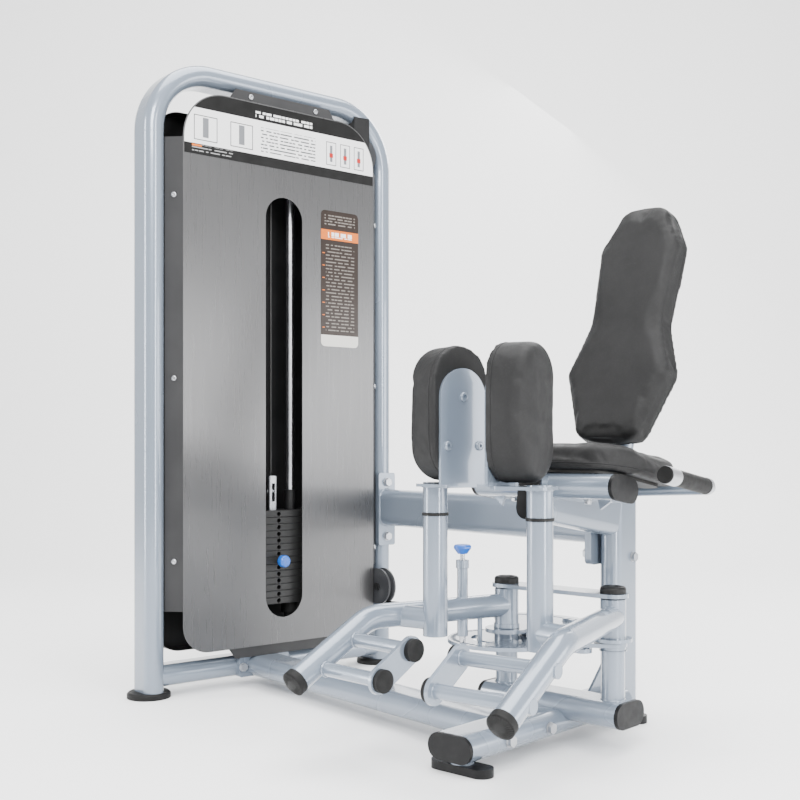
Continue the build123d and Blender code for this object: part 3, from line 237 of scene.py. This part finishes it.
def leatherette():
    """Charcoal leatherette: a pebbled grain of small cells, wrinkled fine creases and a soft uneven sheen."""
    s = Shader("leatherette")
    cells = s.cells(620, "DISTANCE_TO_EDGE")
    pebble = s.ramp(cells, 0.0, 0.28)
    crease = s.noise(150, 5, 0.6)
    tone = s.ramp(s.noise(9, 3), 0.3, 0.7)
    fleck = s.ramp(s.noise(420, 2), 0.52, 0.72, 0.0, 0.55)
    base = s.mix(fleck, s.mix(tone, CHARCOAL, CHARCOAL_LIGHT), (0.017, 0.017, 0.0175))
    # The lines between the grain's cells are darkened: painted shade in the grain's hollows.
    s.set(Base_Color=s.mix(s.ramp(cells, 0.0, 0.05, 0.5, 0.0), base, (0.003, 0.003, 0.003)))
    s.set(Roughness=s.ramp(s.noise(40, 3), 0.3, 0.7, 0.50, 0.60), Specular_IOR_Level=0.22)
    grain = s.bump(pebble, 0.00018, 0.5)
    return s.set(Normal=s.bump(crease, 0.00018, 0.3, grain)).material


def split_material(name, under, over, share):
    """Two finishes on one piece, parted by a mask: under and over set a shader up, share makes the mask."""
    s = Shader(name)
    over(s)
    second = s.node("BsdfPrincipled")
    first, s.bsdf = s.bsdf, second
    under(s)
    blend = s.node("MixShader", {0: share(s), 1: second.outputs[0], 2: first.outputs[0]})
    s.tree.links.new(blend.outputs[0], s.tree.nodes["Material Output"].inputs["Surface"])
    return s.material


def painted(s):
    paint_on(s, PAINT, PAINT_DEEP)


def blacked(s):
    plastic_on(s)


def chromed(s):
    scratch = s.noise(400, 3)
    s.set(Base_Color=(*STEEL, 1.0), Metallic=1.0, Roughness=s.ramp(scratch, 0.3, 0.7, 0.10, 0.22))
    s.set(Normal=s.bump(scratch, 0.00001, 0.4, s.soft_edges(0.0008)))


def blued(s):
    swirl = s.ramp(s.noise(60, 3), 0.35, 0.7)
    s.set(Base_Color=s.mix(swirl, KNOB_BLUE, (0.006, 0.115, 0.50)), Roughness=0.28, Coat_Weight=0.4)
    s.set(Normal=s.bump(s.noise(500, 2), 0.00004, 0.5, s.soft_edges(0.002)))


def height_between(low, high):
    """A mask for split_material: where the piece lies between two heights."""
    return lambda s: s.within(s.along((0, 0, 1), (0, 0, 0)), low, high)


UP = Vector((0, 0, 1))
ALONG_P = (TURN @ Vector((1, 0, 0))).to_tuple()
ALONG_Q = (TURN @ Vector((0, 1, 0))).to_tuple()


def any_of(s, *masks):
    total = masks[0]
    for mask in masks[1:]:
        total = s.math("MAXIMUM", total, mask)
    return total


def all_of(s, *masks):
    total = masks[0]
    for mask in masks[1:]:
        total = s.math("MULTIPLY", total, mask)
    return total


def label_print():
    """Print of the two labels: bands, blank picture fields and rows of plain bars in place of lettering."""
    s = Shader("label_print")
    q = s.along(ALONG_Q, TOWER_AT)
    z = s.along((0, 0, 1), (0, 0, 0))
    on_placard = s.above(z, 1.25)
    white, ink, orange, brown = (0.72, 0.72, 0.72), (0.003, 0.003, 0.003), (0.55, 0.13, 0.012), (0.018, 0.011, 0.008)

    def bars(low_q, high_q, low_z, high_z, pitch, share, seed):
        """Rows of short bars of uneven length inside a rectangle."""
        row = s.node("Math", {0: z, 1: pitch}, operation="MODULO").outputs[0]
        line = s.math("LESS_THAN", row, pitch * share)
        floor = s.node("Math", {0: s.math("DIVIDE", z, pitch)}, operation="FLOOR").outputs[0]
        word = s.node("CombineXYZ", {0: s.math("MULTIPLY", q, 95.0), 1: s.math("ADD", floor, seed)}).outputs[0]
        gaps = s.node("TexNoise", {"Vector": word, "Scale": 1.0, "Detail": 0.0}).outputs["Fac"]
        return all_of(s, line, s.above(gaps, 0.44), s.within(q, low_q, high_q), s.within(z, low_z, high_z))

    def outline(mid_q, mid_z, half_q, half_z, rim):
        """A thin rectangle, as an empty picture frame."""
        outer = all_of(s, s.within(q, mid_q - half_q, mid_q + half_q), s.within(z, mid_z - half_z, mid_z + half_z))
        inner = all_of(s, s.within(q, mid_q - half_q + rim, mid_q + half_q - rim),
                       s.within(z, mid_z - half_z + rim, mid_z + half_z - rim))
        return s.math("SUBTRACT", outer, inner)

    placard = s.mix(s.within(z, 1.308, 1.3935), ink, white)
    frames = [outline(at, 1.347, 0.032, 0.030, 0.0022) for at in (-0.225, -0.125)]
    frames += [outline(at, 1.347, 0.016, 0.030, 0.002) for at in (0.145, 0.190, 0.235)]
    masts = [all_of(s, s.within(q, at - 0.008, at + 0.008), s.within(z, 1.325, 1.372)) for at in (-0.225, -0.125)]
    masts += [all_of(s, s.within(q, at - 0.004, at + 0.004), s.within(z, 1.326, 1.368)) for at in (0.145, 0.190, 0.235)]
    dark = any_of(s, *frames, bars(-0.070, 0.095, 1.318, 1.378, 0.0085, 0.38, 1.0))
    placard = s.mix(dark, placard, (0.05, 0.05, 0.055))
    placard = s.mix(any_of(s, *masts), placard, (0.14, 0.145, 0.155))
    reds = [all_of(s, s.within(q, at - 0.006, at + 0.006), s.within(z, 1.337, 1.348)) for at in (0.145, 0.190, 0.235)]
    placard = s.mix(any_of(s, *reds), placard, (0.35, 0.010, 0.008))
    placard = s.mix(bars(-0.085, 0.085, 1.4005, 1.4155, 0.030, 0.9, 5.0), placard, white)
    placard = s.mix(bars(-0.262, -0.150, 1.290, 1.306, 0.0075, 0.34, 8.0), placard, (0.25, 0.25, 0.25))
    placard = s.mix(all_of(s, s.within(q, -0.262, -0.236), s.within(z, 1.3015, 1.3062)), placard, orange)

    tall = s.mix(s.within(z, 1.124, 1.150), brown, orange)
    tall = s.mix(s.math("LESS_THAN", z, 0.878), tall, (0.55, 0.54, 0.50))
    rows = any_of(s, bars(0.128, 0.220, 0.888, 1.112, 0.0088, 0.33, 3.0), bars(0.124, 0.222, 1.160, 1.190, 0.0075, 0.42, 4.0))
    tall = s.mix(rows, tall, (0.16, 0.145, 0.13))
    tall = s.mix(bars(0.135, 0.212, 1.130, 1.144, 0.014, 0.9, 6.0), tall, white)
    ticks = all_of(s, s.within(q, 0.1175, 0.1245), s.math("LESS_THAN", s.node(
        "Math", {0: z, 1: 0.032}, operation="MODULO").outputs[0], 0.0022), s.within(z, 0.89, 1.112))
    tall = s.mix(ticks, tall, orange)
    s.set(Base_Color=s.mix(on_placard, tall, placard), Coat_Weight=0.15, Coat_Roughness=0.12, Specular_IOR_Level=0.25)
    return s.set(Roughness=s.ramp(s.noise(60, 3), 0.3, 0.7, 0.30, 0.42)).material


def stack_paint():
    """Black cast plates: fine sand texture, bare metal at the rubbed edges."""
    s = Shader("plate_paint")
    sand = s.noise(480, 4, 0.65)
    worn = s.math("MULTIPLY", s.edge_wear(0.0012, 0.3), s.ramp(s.noise(70, 3), 0.35, 0.65))
    s.set(Base_Color=s.mix(worn, s.mix(sand, (0.003, 0.003, 0.003), (0.008, 0.008, 0.008)), (0.06, 0.06, 0.062)))
    s.set(Roughness=s.ramp(worn, 0, 1, 0.50, 0.32), Metallic=s.ramp(worn, 0, 1, 0.0, 0.8))
    return s.set(Normal=s.bump(sand, 0.00012, 0.6, s.soft_edges(0.0012))).material


def board_painted_shade():
    """Plywood coloured near black as painted shade, the dark line under a cushion's edge: faint long grain under a matt
    coat.
    """
    s = Shader("board_painted_shade")
    grain = s.noise(60, 5, 0.6, stretch=(0.08, 1, 1))
    s.set(Base_Color=s.mix(grain, (0.004, 0.004, 0.004), (0.011, 0.010, 0.009)), Roughness=0.62)
    return s.set(Normal=s.bump(grain, 0.0002, 0.6, s.soft_edges(0.001))).material


def cable_jacket():
    """Glossy black sheath over a laid rope: its strands show as a slight helix."""
    s = Shader("cable_jacket")
    strand = s.node("TexWave", {"Vector": s.place, "Scale": 260.0, "Distortion": 1.0}, bands_direction="DIAGONAL")
    s.set(Base_Color=s.mix(strand.outputs["Fac"], (0.003, 0.003, 0.003), (0.009, 0.009, 0.009)), Roughness=0.28)
    return s.set(Normal=s.bump(strand.outputs["Fac"], 0.0002, 0.5)).material


def pulley_moulding():
    """Glass-filled nylon: dark grey moulded plastic."""
    s = Shader("pulley_moulding")
    plastic_on(s, (0.030, 0.031, 0.034), (0.048, 0.049, 0.052), 0.30)
    return s.material


knob_p = TOWER_AT + Vector(ALONG_P) * 0.054
paint = frame_paint()
leather = leatherette()
black = plastic_on(Shader("black_plastic")).material
rubber = plastic_on(Shader("black_rubber"), (0.0045, 0.0045, 0.0045), (0.011, 0.011, 0.011), 0.55).material
# Near-black powder coat, used for the hangers and the low pulley bracket; on the rear cover it is painted shade, its
# inner side lying in shadow.
dark_coat_and_painted_shade = powder_coat("dark_coat_and_painted_shade", (0.006, 0.006, 0.0065), (0.010, 0.010, 0.0105))
wing_sheet = powder_coat("wing_sheet", (0.022, 0.022, 0.023), (0.028, 0.028, 0.029))
bright = steel("bright_steel", 0.20, False)
brushed = steel("brushed_steel", 0.26, True)
finishes = {
    "front_panel": panel_paint(),
    "side_wings": wing_sheet,
    # The rear cover's near-black is painted shade: its visible inner side lies in shadow.
    "rear_cover": dark_coat_and_painted_shade,
    "guard_brackets": wing_sheet,
    "top_hangers": dark_coat_and_painted_shade,
    "low_pulley_bracket": dark_coat_and_painted_shade,
    "panel_labels": label_print(),
    "wing_screws": bright,
    "frame_bolts": brushed,
    "selector_rod": brushed,
    "guide_rods": brushed,
    "grip_rings": brushed,
    "guide_bushes": black,
    "pivot_caps": black,
    "tube_caps": black,
    "arm_caps_left": rubber,
    "arm_caps_right": rubber,
    "handle_grips": rubber,
    "hoop_pads": rubber,
    "stack_buffers": rubber,
    # The boards' near-black colour is painted shade under the cushions' edges.
    "seat_board": board_painted_shade(),
    "back_board": board_painted_shade(),
    "run_cable": cable_jacket(),
    "selector_pin": split_material("pin_and_knob", chromed, blued, lambda s: s.above(s.along(ALONG_P, knob_p), 0.0)),
    "pop_pin": split_material("pop_pin_finish", chromed, blued, height_between(0.3718, 0.40)),
    "floor_feet": split_material("foot_finish", blacked, painted, height_between(0.0161, 0.03)),
}
pad_rings = split_material("pad_mount_finish", painted, blacked, lambda s: any_of(
    s, height_between(0.4575, 0.4642)(s), all_of(s, height_between(0.5201, 0.528)(s), s.math(
        "LESS_THAN", s.node("VectorMath", {0: s.place, 1: tuple(pad_plane(-1).translation + UP * 0.52)},
                            operation="DISTANCE").outputs["Value"], 0.024))))
for name in ("resting_plates", "lifted_plates", "head_plate"):
    finishes[name] = stack_paint()
for name in ("pulley_low", "pulley_stack", "pulley_drop"):
    finishes[name] = pulley_moulding()


def wear(thing, material):
    """Gives a piece one finish in every slot."""
    thing.data.materials.clear()
    thing.data.materials.append(material)


for name, thing in nodes.items():
    wear(thing, finishes.get(name, paint))


# ============================================================== mesh helpers
def new_piece(name, mesh_or_bmesh, body, material, smooth=True):
    """Makes a piece from a mesh that is already in the row frame, and lets it ride on a body."""
    mesh = mesh_or_bmesh
    if isinstance(mesh_or_bmesh, bmesh.types.BMesh):
        mesh = bpy.data.meshes.new(name)
        mesh_or_bmesh.to_mesh(mesh)
        mesh_or_bmesh.free()
    thing = bpy.data.objects.new(name, mesh)
    bpy.context.scene.collection.objects.link(thing)
    wear(thing, material)
    mesh.polygons.foreach_set("use_smooth", [smooth] * len(mesh.polygons))
    if body:
        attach(thing, body)
    return thing


def tube(mesh, points, radius, sides=12, closed=False):
    """Adds a round tube along a line of points."""
    count = len(points)
    rings = []
    normal = None
    for i, point in enumerate(points):
        before = points[i - 1] if i or closed else point
        after = points[(i + 1) % count] if i + 1 < count or closed else point
        along = (after - before).normalized()
        if normal is None:
            normal = along.orthogonal().normalized()
        normal = (normal - along * normal.dot(along)).normalized()
        across = along.cross(normal)
        rings.append([mesh.verts.new(point + (normal * cos(2 * pi * k / sides) + across * sin(2 * pi * k / sides))
                                     * radius) for k in range(sides)])
    spans = range(count if closed else count - 1)
    for i in spans:
        a, b = rings[i], rings[(i + 1) % count]
        shift = 0
        if closed and i == count - 1:
            shift = min(range(sides), key=lambda k: (a[0].co - b[k].co).length)
        for k in range(sides):
            mesh.faces.new((a[k], a[(k + 1) % sides], b[(k + 1 + shift) % sides], b[(k + shift) % sides]))
    if not closed:
        mesh.faces.new(rings[0][::-1])
        mesh.faces.new(rings[-1])


def weld_bead(mesh, place, radius, thick=0.0022, oval=0.0):
    """A rippled fillet weld around a round or flat-oval tube that stands on a place."""
    steps = max(48, int(2 * pi * radius / 0.0018))
    points = []
    for i in range(steps):
        angle = 2 * pi * i / steps
        shift = oval / 2 if cos(angle) > 0 else -oval / 2
        ripple = 1 + 0.10 * sin(angle * steps / 4)
        points.append(place @ Vector((cos(angle) * radius * ripple ** 0.1 + shift, sin(angle) * radius, 0)))
    tube(mesh, points, thick, 8, closed=True)


# ============================================================== cushions
def applied(thing):
    """The thing's mesh with its modifiers applied, in the row frame."""
    graph = bpy.context.evaluated_depsgraph_get()
    mesh = bpy.data.meshes.new_from_object(thing.evaluated_get(graph))
    thing.modifiers.clear()
    thing.data = mesh
    return mesh


def cushion(node, name, body, plane, face_axis, board_side, shrink, cap, pressure, edge_r):
    """A stuffed cushion grown from a plain CAD solid: inflated by cloth simulation and held flat on its board.

    plane is the cushion's own frame, face_axis the index of its axis that points between board and face, and
    board_side the board's coordinate along it.
    """
    to_plane = plane.inverted()
    to_turn = to_plane.to_3x3()
    thing = bpy.data.objects.new(name, nodes[node].data.copy())
    bpy.context.scene.collection.objects.link(thing)
    spans = [[(to_plane @ v.co)[axis] for v in thing.data.vertices] for axis in range(3)]
    halves = [(max(span) - min(span)) / 2 for span in spans]
    centre = [(max(span) + min(span)) / 2 for span in spans]
    thickness = 2 * halves[face_axis]
    for v in thing.data.vertices:
        local = to_plane @ v.co
        for axis in range(3):
            if axis == face_axis:
                local[axis] = board_side + (local[axis] - board_side) * (1 - shrink / thickness)
            else:
                local[axis] = centre[axis] + (local[axis] - centre[axis]) * (1 - shrink / halves[axis])
        v.co = plane @ local
    walls = BVHTree.FromPolygons(
        [v.co.copy() for v in thing.data.vertices],
        [tuple(p.vertices) for p in thing.data.polygons if abs((to_turn @ p.normal)[face_axis]) < 0.2])
    remesh = thing.modifiers.new("remesh", "REMESH")
    remesh.mode = "VOXEL"
    remesh.voxel_size = VOXEL
    mesh = applied(thing)
    face = board_side + (thickness - shrink) * (1 if centre[face_axis] > board_side else -1)
    for v in mesh.vertices:
        local = to_plane @ v.co
        out = to_plane @ walls.find_nearest(v.co)[0] - local
        out[face_axis] = 0
        inset, depth = out.length, abs(face - local[face_axis])
        if abs(local[face_axis] - board_side) < 0.004:
            local[face_axis] = board_side
        if inset < edge_r and depth < edge_r:
            away = Vector((edge_r - inset, edge_r - depth))
            pull = max(0.0, 1 - edge_r / away.length)
            if inset > 1e-6:
                local -= out.normalized() * away.x * pull
            local[face_axis] += (board_side - face) / thickness * away.y * pull
        v.co = plane @ local
    smooth = thing.modifiers.new("round", "SMOOTH")
    smooth.factor, smooth.iterations = 0.5, 2
    mesh = applied(thing)
    rest = [v.co.copy() for v in mesh.vertices]
    held = thing.vertex_groups.new(name="held")
    held.add([v.index for v in mesh.vertices if abs((to_plane @ v.co)[face_axis] - board_side) < 0.008], 1.0, "REPLACE")
    cloth = thing.modifiers.new("cloth", "CLOTH")
    settings = cloth.settings
    settings.quality = 5
    settings.mass = 0.4
    settings.tension_stiffness = settings.compression_stiffness = 20
    settings.shear_stiffness = 10
    settings.bending_stiffness = 1.0
    settings.use_pressure = True
    settings.uniform_pressure_force = pressure
    settings.vertex_group_mass = "held"
    settings.effector_weights.gravity = 0
    cloth.point_cache.frame_start, cloth.point_cache.frame_end = 1, 20
    for step in range(1, 21):
        bpy.context.scene.frame_set(step)
    mesh = applied(thing)
    bpy.context.scene.frame_set(1)
    for v, start in zip(mesh.vertices, rest):
        move = v.co - start
        if move.length > cap:
            v.co = start + move.normalized() * cap
    smooth = thing.modifiers.new("settle", "SMOOTH")
    smooth.factor, smooth.iterations = 0.4, 3
    finer = thing.modifiers.new("finer", "SUBSURF")
    finer.levels = finer.render_levels = 1
    mesh = applied(thing)
    moves = []
    for v in mesh.vertices:
        depth = abs((to_plane @ v.co)[face_axis] - board_side)
        soft = min(1.0, max(0.0, (depth - 0.010) / 0.010))
        moves.append(v.normal * soft * (0.0007 * grain_at(v.co * 12) + 0.0002 * grain_at(v.co * 45)))
    for v, move in zip(mesh.vertices, moves):
        v.co += move
    mesh.polygons.foreach_set("use_smooth", [True] * len(mesh.polygons))
    wear(thing, leather)
    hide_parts(node)
    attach(thing, body)
    return thing


def seam(thing, name, body, plane, face_axis, level, radius=0.0011, count=240):
    """A sewn seam round a cushion at one level of its depth: a thin welt half sunk into the cover."""
    tree = BVHTree.FromPolygons([v.co.copy() for v in thing.data.vertices],
                                [tuple(p.vertices) for p in thing.data.polygons])
    to_plane = plane.inverted()
    spans = [[(to_plane @ v.co)[axis] for v in thing.data.vertices] for axis in range(3)]
    middle = Vector([(max(span) + min(span)) / 2 for span in spans])
    middle[face_axis] = level
    one, two = [axis for axis in range(3) if axis != face_axis]
    points = []
    for i in range(count):
        away = Vector((0, 0, 0))
        away[one], away[two] = cos(2 * pi * i / count), sin(2 * pi * i / count)
        far = plane @ (middle + away)
        hit = tree.ray_cast(far, (plane @ middle - far).normalized())[0]
        if hit is not None:
            points.append(hit)
    for _ in range(2):
        points = [(points[i - 1] + points[i] * 2 + points[(i + 1) % len(points)]) / 4 for i in range(len(points))]
    welt = bmesh.new()
    tube(welt, points, radius, 8, closed=True)
    new_piece(name, welt, body, leather)


VOXEL = 0.0055
PLATE_IN = 0.077
pads = {side: pad_plane(side) for side in (-1, 1)}
soft_pieces = [
    ("seat_cushion", "frame", SEAT_PLANE, 2, BOARD_T, 0.017),
    ("back_cushion", "frame", BACK_PLANE, 2, -CUSHION_T, 0.016),
    ("pad_cushion_left", "left_pad", pads[-1], 0, PLATE_IN - 0.0004, 0.022),
    ("pad_cushion_right", "right_pad", pads[1], 0, PLATE_IN - 0.0004, 0.022),
]
for node, body, plane, face_axis, board_side, edge_r in soft_pieces:
    stuffed = cushion(node, "soft_" + node, body, plane, face_axis, board_side, 0.002, 0.005, 4.0, edge_r)
    inwards = -1 if face_axis == 0 else 1
    seam(stuffed, "seam_" + node, body, plane, face_axis, board_side + inwards * 0.012)

# ============================================================== cables
# The stack's cable: a straight rope from the bottom of the CAD cable up to CABLE_TOP.
low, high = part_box("lift_cable")
cable_at = (low + high) / 2 if isinstance(low, Vector) else (Vector(low) + Vector(high)) / 2
rope = bmesh.new()
steps = 60
tube(rope, [Vector((cable_at.x, cable_at.y, low[2] + (CABLE_TOP - low[2]) * i / steps)) for i in range(steps + 1)],
     CABLE_R, 16)
lift_rope = new_piece("stack_rope", rope, "frame", finishes["run_cable"])
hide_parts("lift_cable")
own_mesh(lift_rope)

# The cam's cable lies in the groove from where it meets the cam to the clamp.
left_pivot = SEAT_AT + Vector((-PIVOT_X, 0, 0))


def on_groove(angle):
    """A point of the cable's line round the left pivot."""
    return left_pivot + Vector((CAM_R * cos(radians(angle)), CAM_R * sin(radians(angle)), CAM_Z))


MEETS, CLAMPED = 90 + TOWER_TURN, 64.0
rope = bmesh.new()
steps = 90
tube(rope, [on_groove(MEETS + (CLAMPED - MEETS) * i / steps) for i in range(steps + 1)], CABLE_R, 16)
cam_rope = new_piece("cam_rope", rope, None, finishes["run_cable"])
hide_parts("cam_cable")
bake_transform(cam_rope)

# ============================================================== weld beads
POST_R, POST_FOOT = 0.023, 0.100
FLANGE_TOP, MOUNT_R = 0.514, 0.024
BOOM_Q, BOOM_Z, BOOM_HIGH, BOOM_WIDE = 0.3415, 0.425, 0.098, 0.050
TOWER_PLATE, SEAT_PLATE = 0.050, -0.041
RUNG_R, TUBE_R, STEP_AT = 0.013, 0.024, 0.165
RUNGS = ((0.227, -0.372, 0.225), (0.231, -0.448, 0.180))
BEND, TOE = (0.223, -0.319, 0.260), (0.236, -0.495, 0.163)
TOE_CAP_R, TOE_CAP_T = 0.025, 0.014
TO_X = Matrix.Rotation(radians(90), 4, "Y")


def facing(point, direction):
    """A frame at a point, z along a direction."""
    return Matrix.Translation(point) @ Vector(direction).to_track_quat("Z", "Y").to_matrix().to_4x4()


def mirrored(side, point):
    """A seat-unit point, given for the right side, on one side of the machine."""
    return SEAT @ Vector((side * point[0], point[1], point[2]))


beads = bmesh.new()
for side in (-1, 1):
    weld_bead(beads, SEAT @ Matrix.Translation((side * PIVOT_X, 0, POST_FOOT)), POST_R)
boom_end = (SEAT_PLATE - (TOWER_AT - SEAT_AT).x + sin(radians(TOWER_TURN)) * BOOM_Q) / cos(radians(TOWER_TURN))
boom_foot = TOWER @ Vector((boom_end, BOOM_Q, BOOM_Z))
for place in (TOWER @ Matrix.Translation((TOWER_PLATE, BOOM_Q, BOOM_Z)), Matrix.Translation(boom_foot)):
    weld_bead(beads, place @ TO_X, BOOM_WIDE / 2, 0.0026, BOOM_HIGH - BOOM_WIDE)
new_piece("weld_frame", beads, "frame", paint)

for side, body in ((-1, "left_pad"), (1, "right_pad")):
    beads = bmesh.new()
    weld_bead(beads, pads[side] @ Matrix.Translation((0, 0, FLANGE_TOP)), MOUNT_R)
    new_piece("weld_" + body, beads, body, paint)
    wear(nodes["pad_mount_" + body[:-4]], pad_rings)


# ============================================================== arm details
def fluted_dome(mesh, place, radius, rise, flutes=30, rings=9):
    """Adds a shallow moulded dome with radial flutes round a plain middle, closed underneath."""
    around = flutes * 6
    rows = []
    for ring in range(1, rings + 1):
        out = ring / rings
        swell = 0.0005 * min(1.0, max(0.0, (out - 0.35) * 6)) * min(1.0, (1 - out) * 8)
        rows.append([mesh.verts.new(place @ Vector((
            radius * out * cos(2 * pi * k / around), radius * out * sin(2 * pi * k / around),
            rise * (1 - out ** 3) + swell * cos(2 * pi * k * flutes / around)))) for k in range(around)])
    top = mesh.verts.new(place @ Vector((0, 0, rise)))
    for k in range(around):
        follow = (k + 1) % around
        mesh.faces.new((top, rows[0][k], rows[0][follow]))
        for inner, outer in zip(rows, rows[1:]):
            mesh.faces.new((inner[k], outer[k], outer[follow], inner[follow]))
    mesh.faces.new(rows[-1][::-1])


for side, body in ((-1, "left_leg_arm"), (1, "right_leg_arm")):
    forward = (mirrored(side, TOE) - mirrored(side, BEND)).normalized()
    inward = forward.cross(UP).normalized() * side
    beads = bmesh.new()
    for rung in RUNGS:
        start = mirrored(side, rung)
        weld_bead(beads, facing(start + inward * TUBE_R, inward), RUNG_R, 0.0026)
        weld_bead(beads, facing(start + inward * STEP_AT, inward), RUNG_R, 0.0018)
    new_piece("weld_" + body, beads, body, paint)
    dome = bmesh.new()
    fluted_dome(dome, facing(mirrored(side, TOE) + forward * TOE_CAP_T, forward), TOE_CAP_R - 0.0005, 0.0035)
    new_piece("dome_" + body, dome, body, rubber)

dome = bmesh.new()
for side in (-1, 1):
    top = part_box("pivot_caps")[1].z
    fluted_dome(dome, SEAT @ Matrix.Translation((side * PIVOT_X, 0, top)), 0.0175, 0.0012, 24)
new_piece("dome_pivot_caps", dome, "frame", black)

# ============================================================== floor, light, camera
def studio_surface(name, colour, rough):
    s = Shader(name)
    s.set(Base_Color=s.mix(s.noise(1.2, 2), colour, tuple(c * 0.985 for c in colour)), Roughness=rough)
    return s.material


def floor():
    """A pale floor that curves up into a wall far behind the machine."""
    depth, bend, width, rise = 4.5, 1.6, 9.0, 5.0
    profile = [(-7.0, 0.0), (depth - bend, 0.0)]
    profile += [(depth - bend + bend * sin(radians(a)), bend - bend * cos(radians(a))) for a in range(6, 91, 6)]
    profile.append((depth, rise))
    sheet = bmesh.new()
    away = Matrix.Rotation(radians(42), 4, "Z")
    rows = [[sheet.verts.new(away @ Vector((x, along, up - 0.0003))) for along, up in profile] for x in (-width, width)]
    for a, b, c, d in zip(rows[0], rows[0][1:], rows[1][1:], rows[1]):
        sheet.faces.new((d, c, b, a))
    thing = new_piece("studio_floor", sheet, None, studio_surface("studio", (0.92, 0.92, 0.92), 0.6))


floor()


def softbox(name, at, target, size, power):
    """An area light pointed at a place."""
    data = bpy.data.lights.new(name, "AREA")
    data.shape = "RECTANGLE"
    data.size, data.size_y = size
    data.energy = power
    lamp = bpy.data.objects.new(name, data)
    bpy.context.scene.collection.objects.link(lamp)
    lamp.location = at
    lamp.rotation_euler = (Vector(target) - Vector(at)).to_track_quat("-Z", "Y").to_euler()


MIDDLE = (0.0, 0.0, 0.6)
softbox("key", (2.6, -3.6, 3.4), MIDDLE, (2.0, 2.0), 330)
softbox("strip_left", (-2.6, -3.0, 1.3), MIDDLE, (0.5, 3.0), 120)
softbox("strip_right", (3.6, -0.8, 1.4), MIDDLE, (0.5, 3.0), 110)
softbox("top", (0.2, 0.2, 4.6), MIDDLE, (4.0, 4.0), 420)
softbox("panel_glow", (3.8, 2.0, 0.9), (-0.5, 0.1, 0.9), (2.8, 1.3), 90)
softbox("back", (-1.0, 4.0, 3.2), (0.2, 0, 0.8), (3.0, 1.6), 120)

world = bpy.data.worlds.new("studio")
bpy.context.scene.world = world
world.use_nodes = True
background = world.node_tree.nodes["Background"]
background.inputs["Color"].default_value = (1.0, 1.0, 1.0, 1.0)
background.inputs["Strength"].default_value = 1.15

camera_data = bpy.data.cameras.new("camera")
camera_data.lens, camera_data.sensor_width, camera_data.shift_y = 51.5, 36.0, 0.0546
camera = bpy.data.objects.new("camera", camera_data)
camera.location = (1.6761, -1.8747, 0.597)
camera.rotation_euler = (radians(90), 0, radians(42))
bpy.context.scene.collection.objects.link(camera)
bpy.context.scene.camera = camera
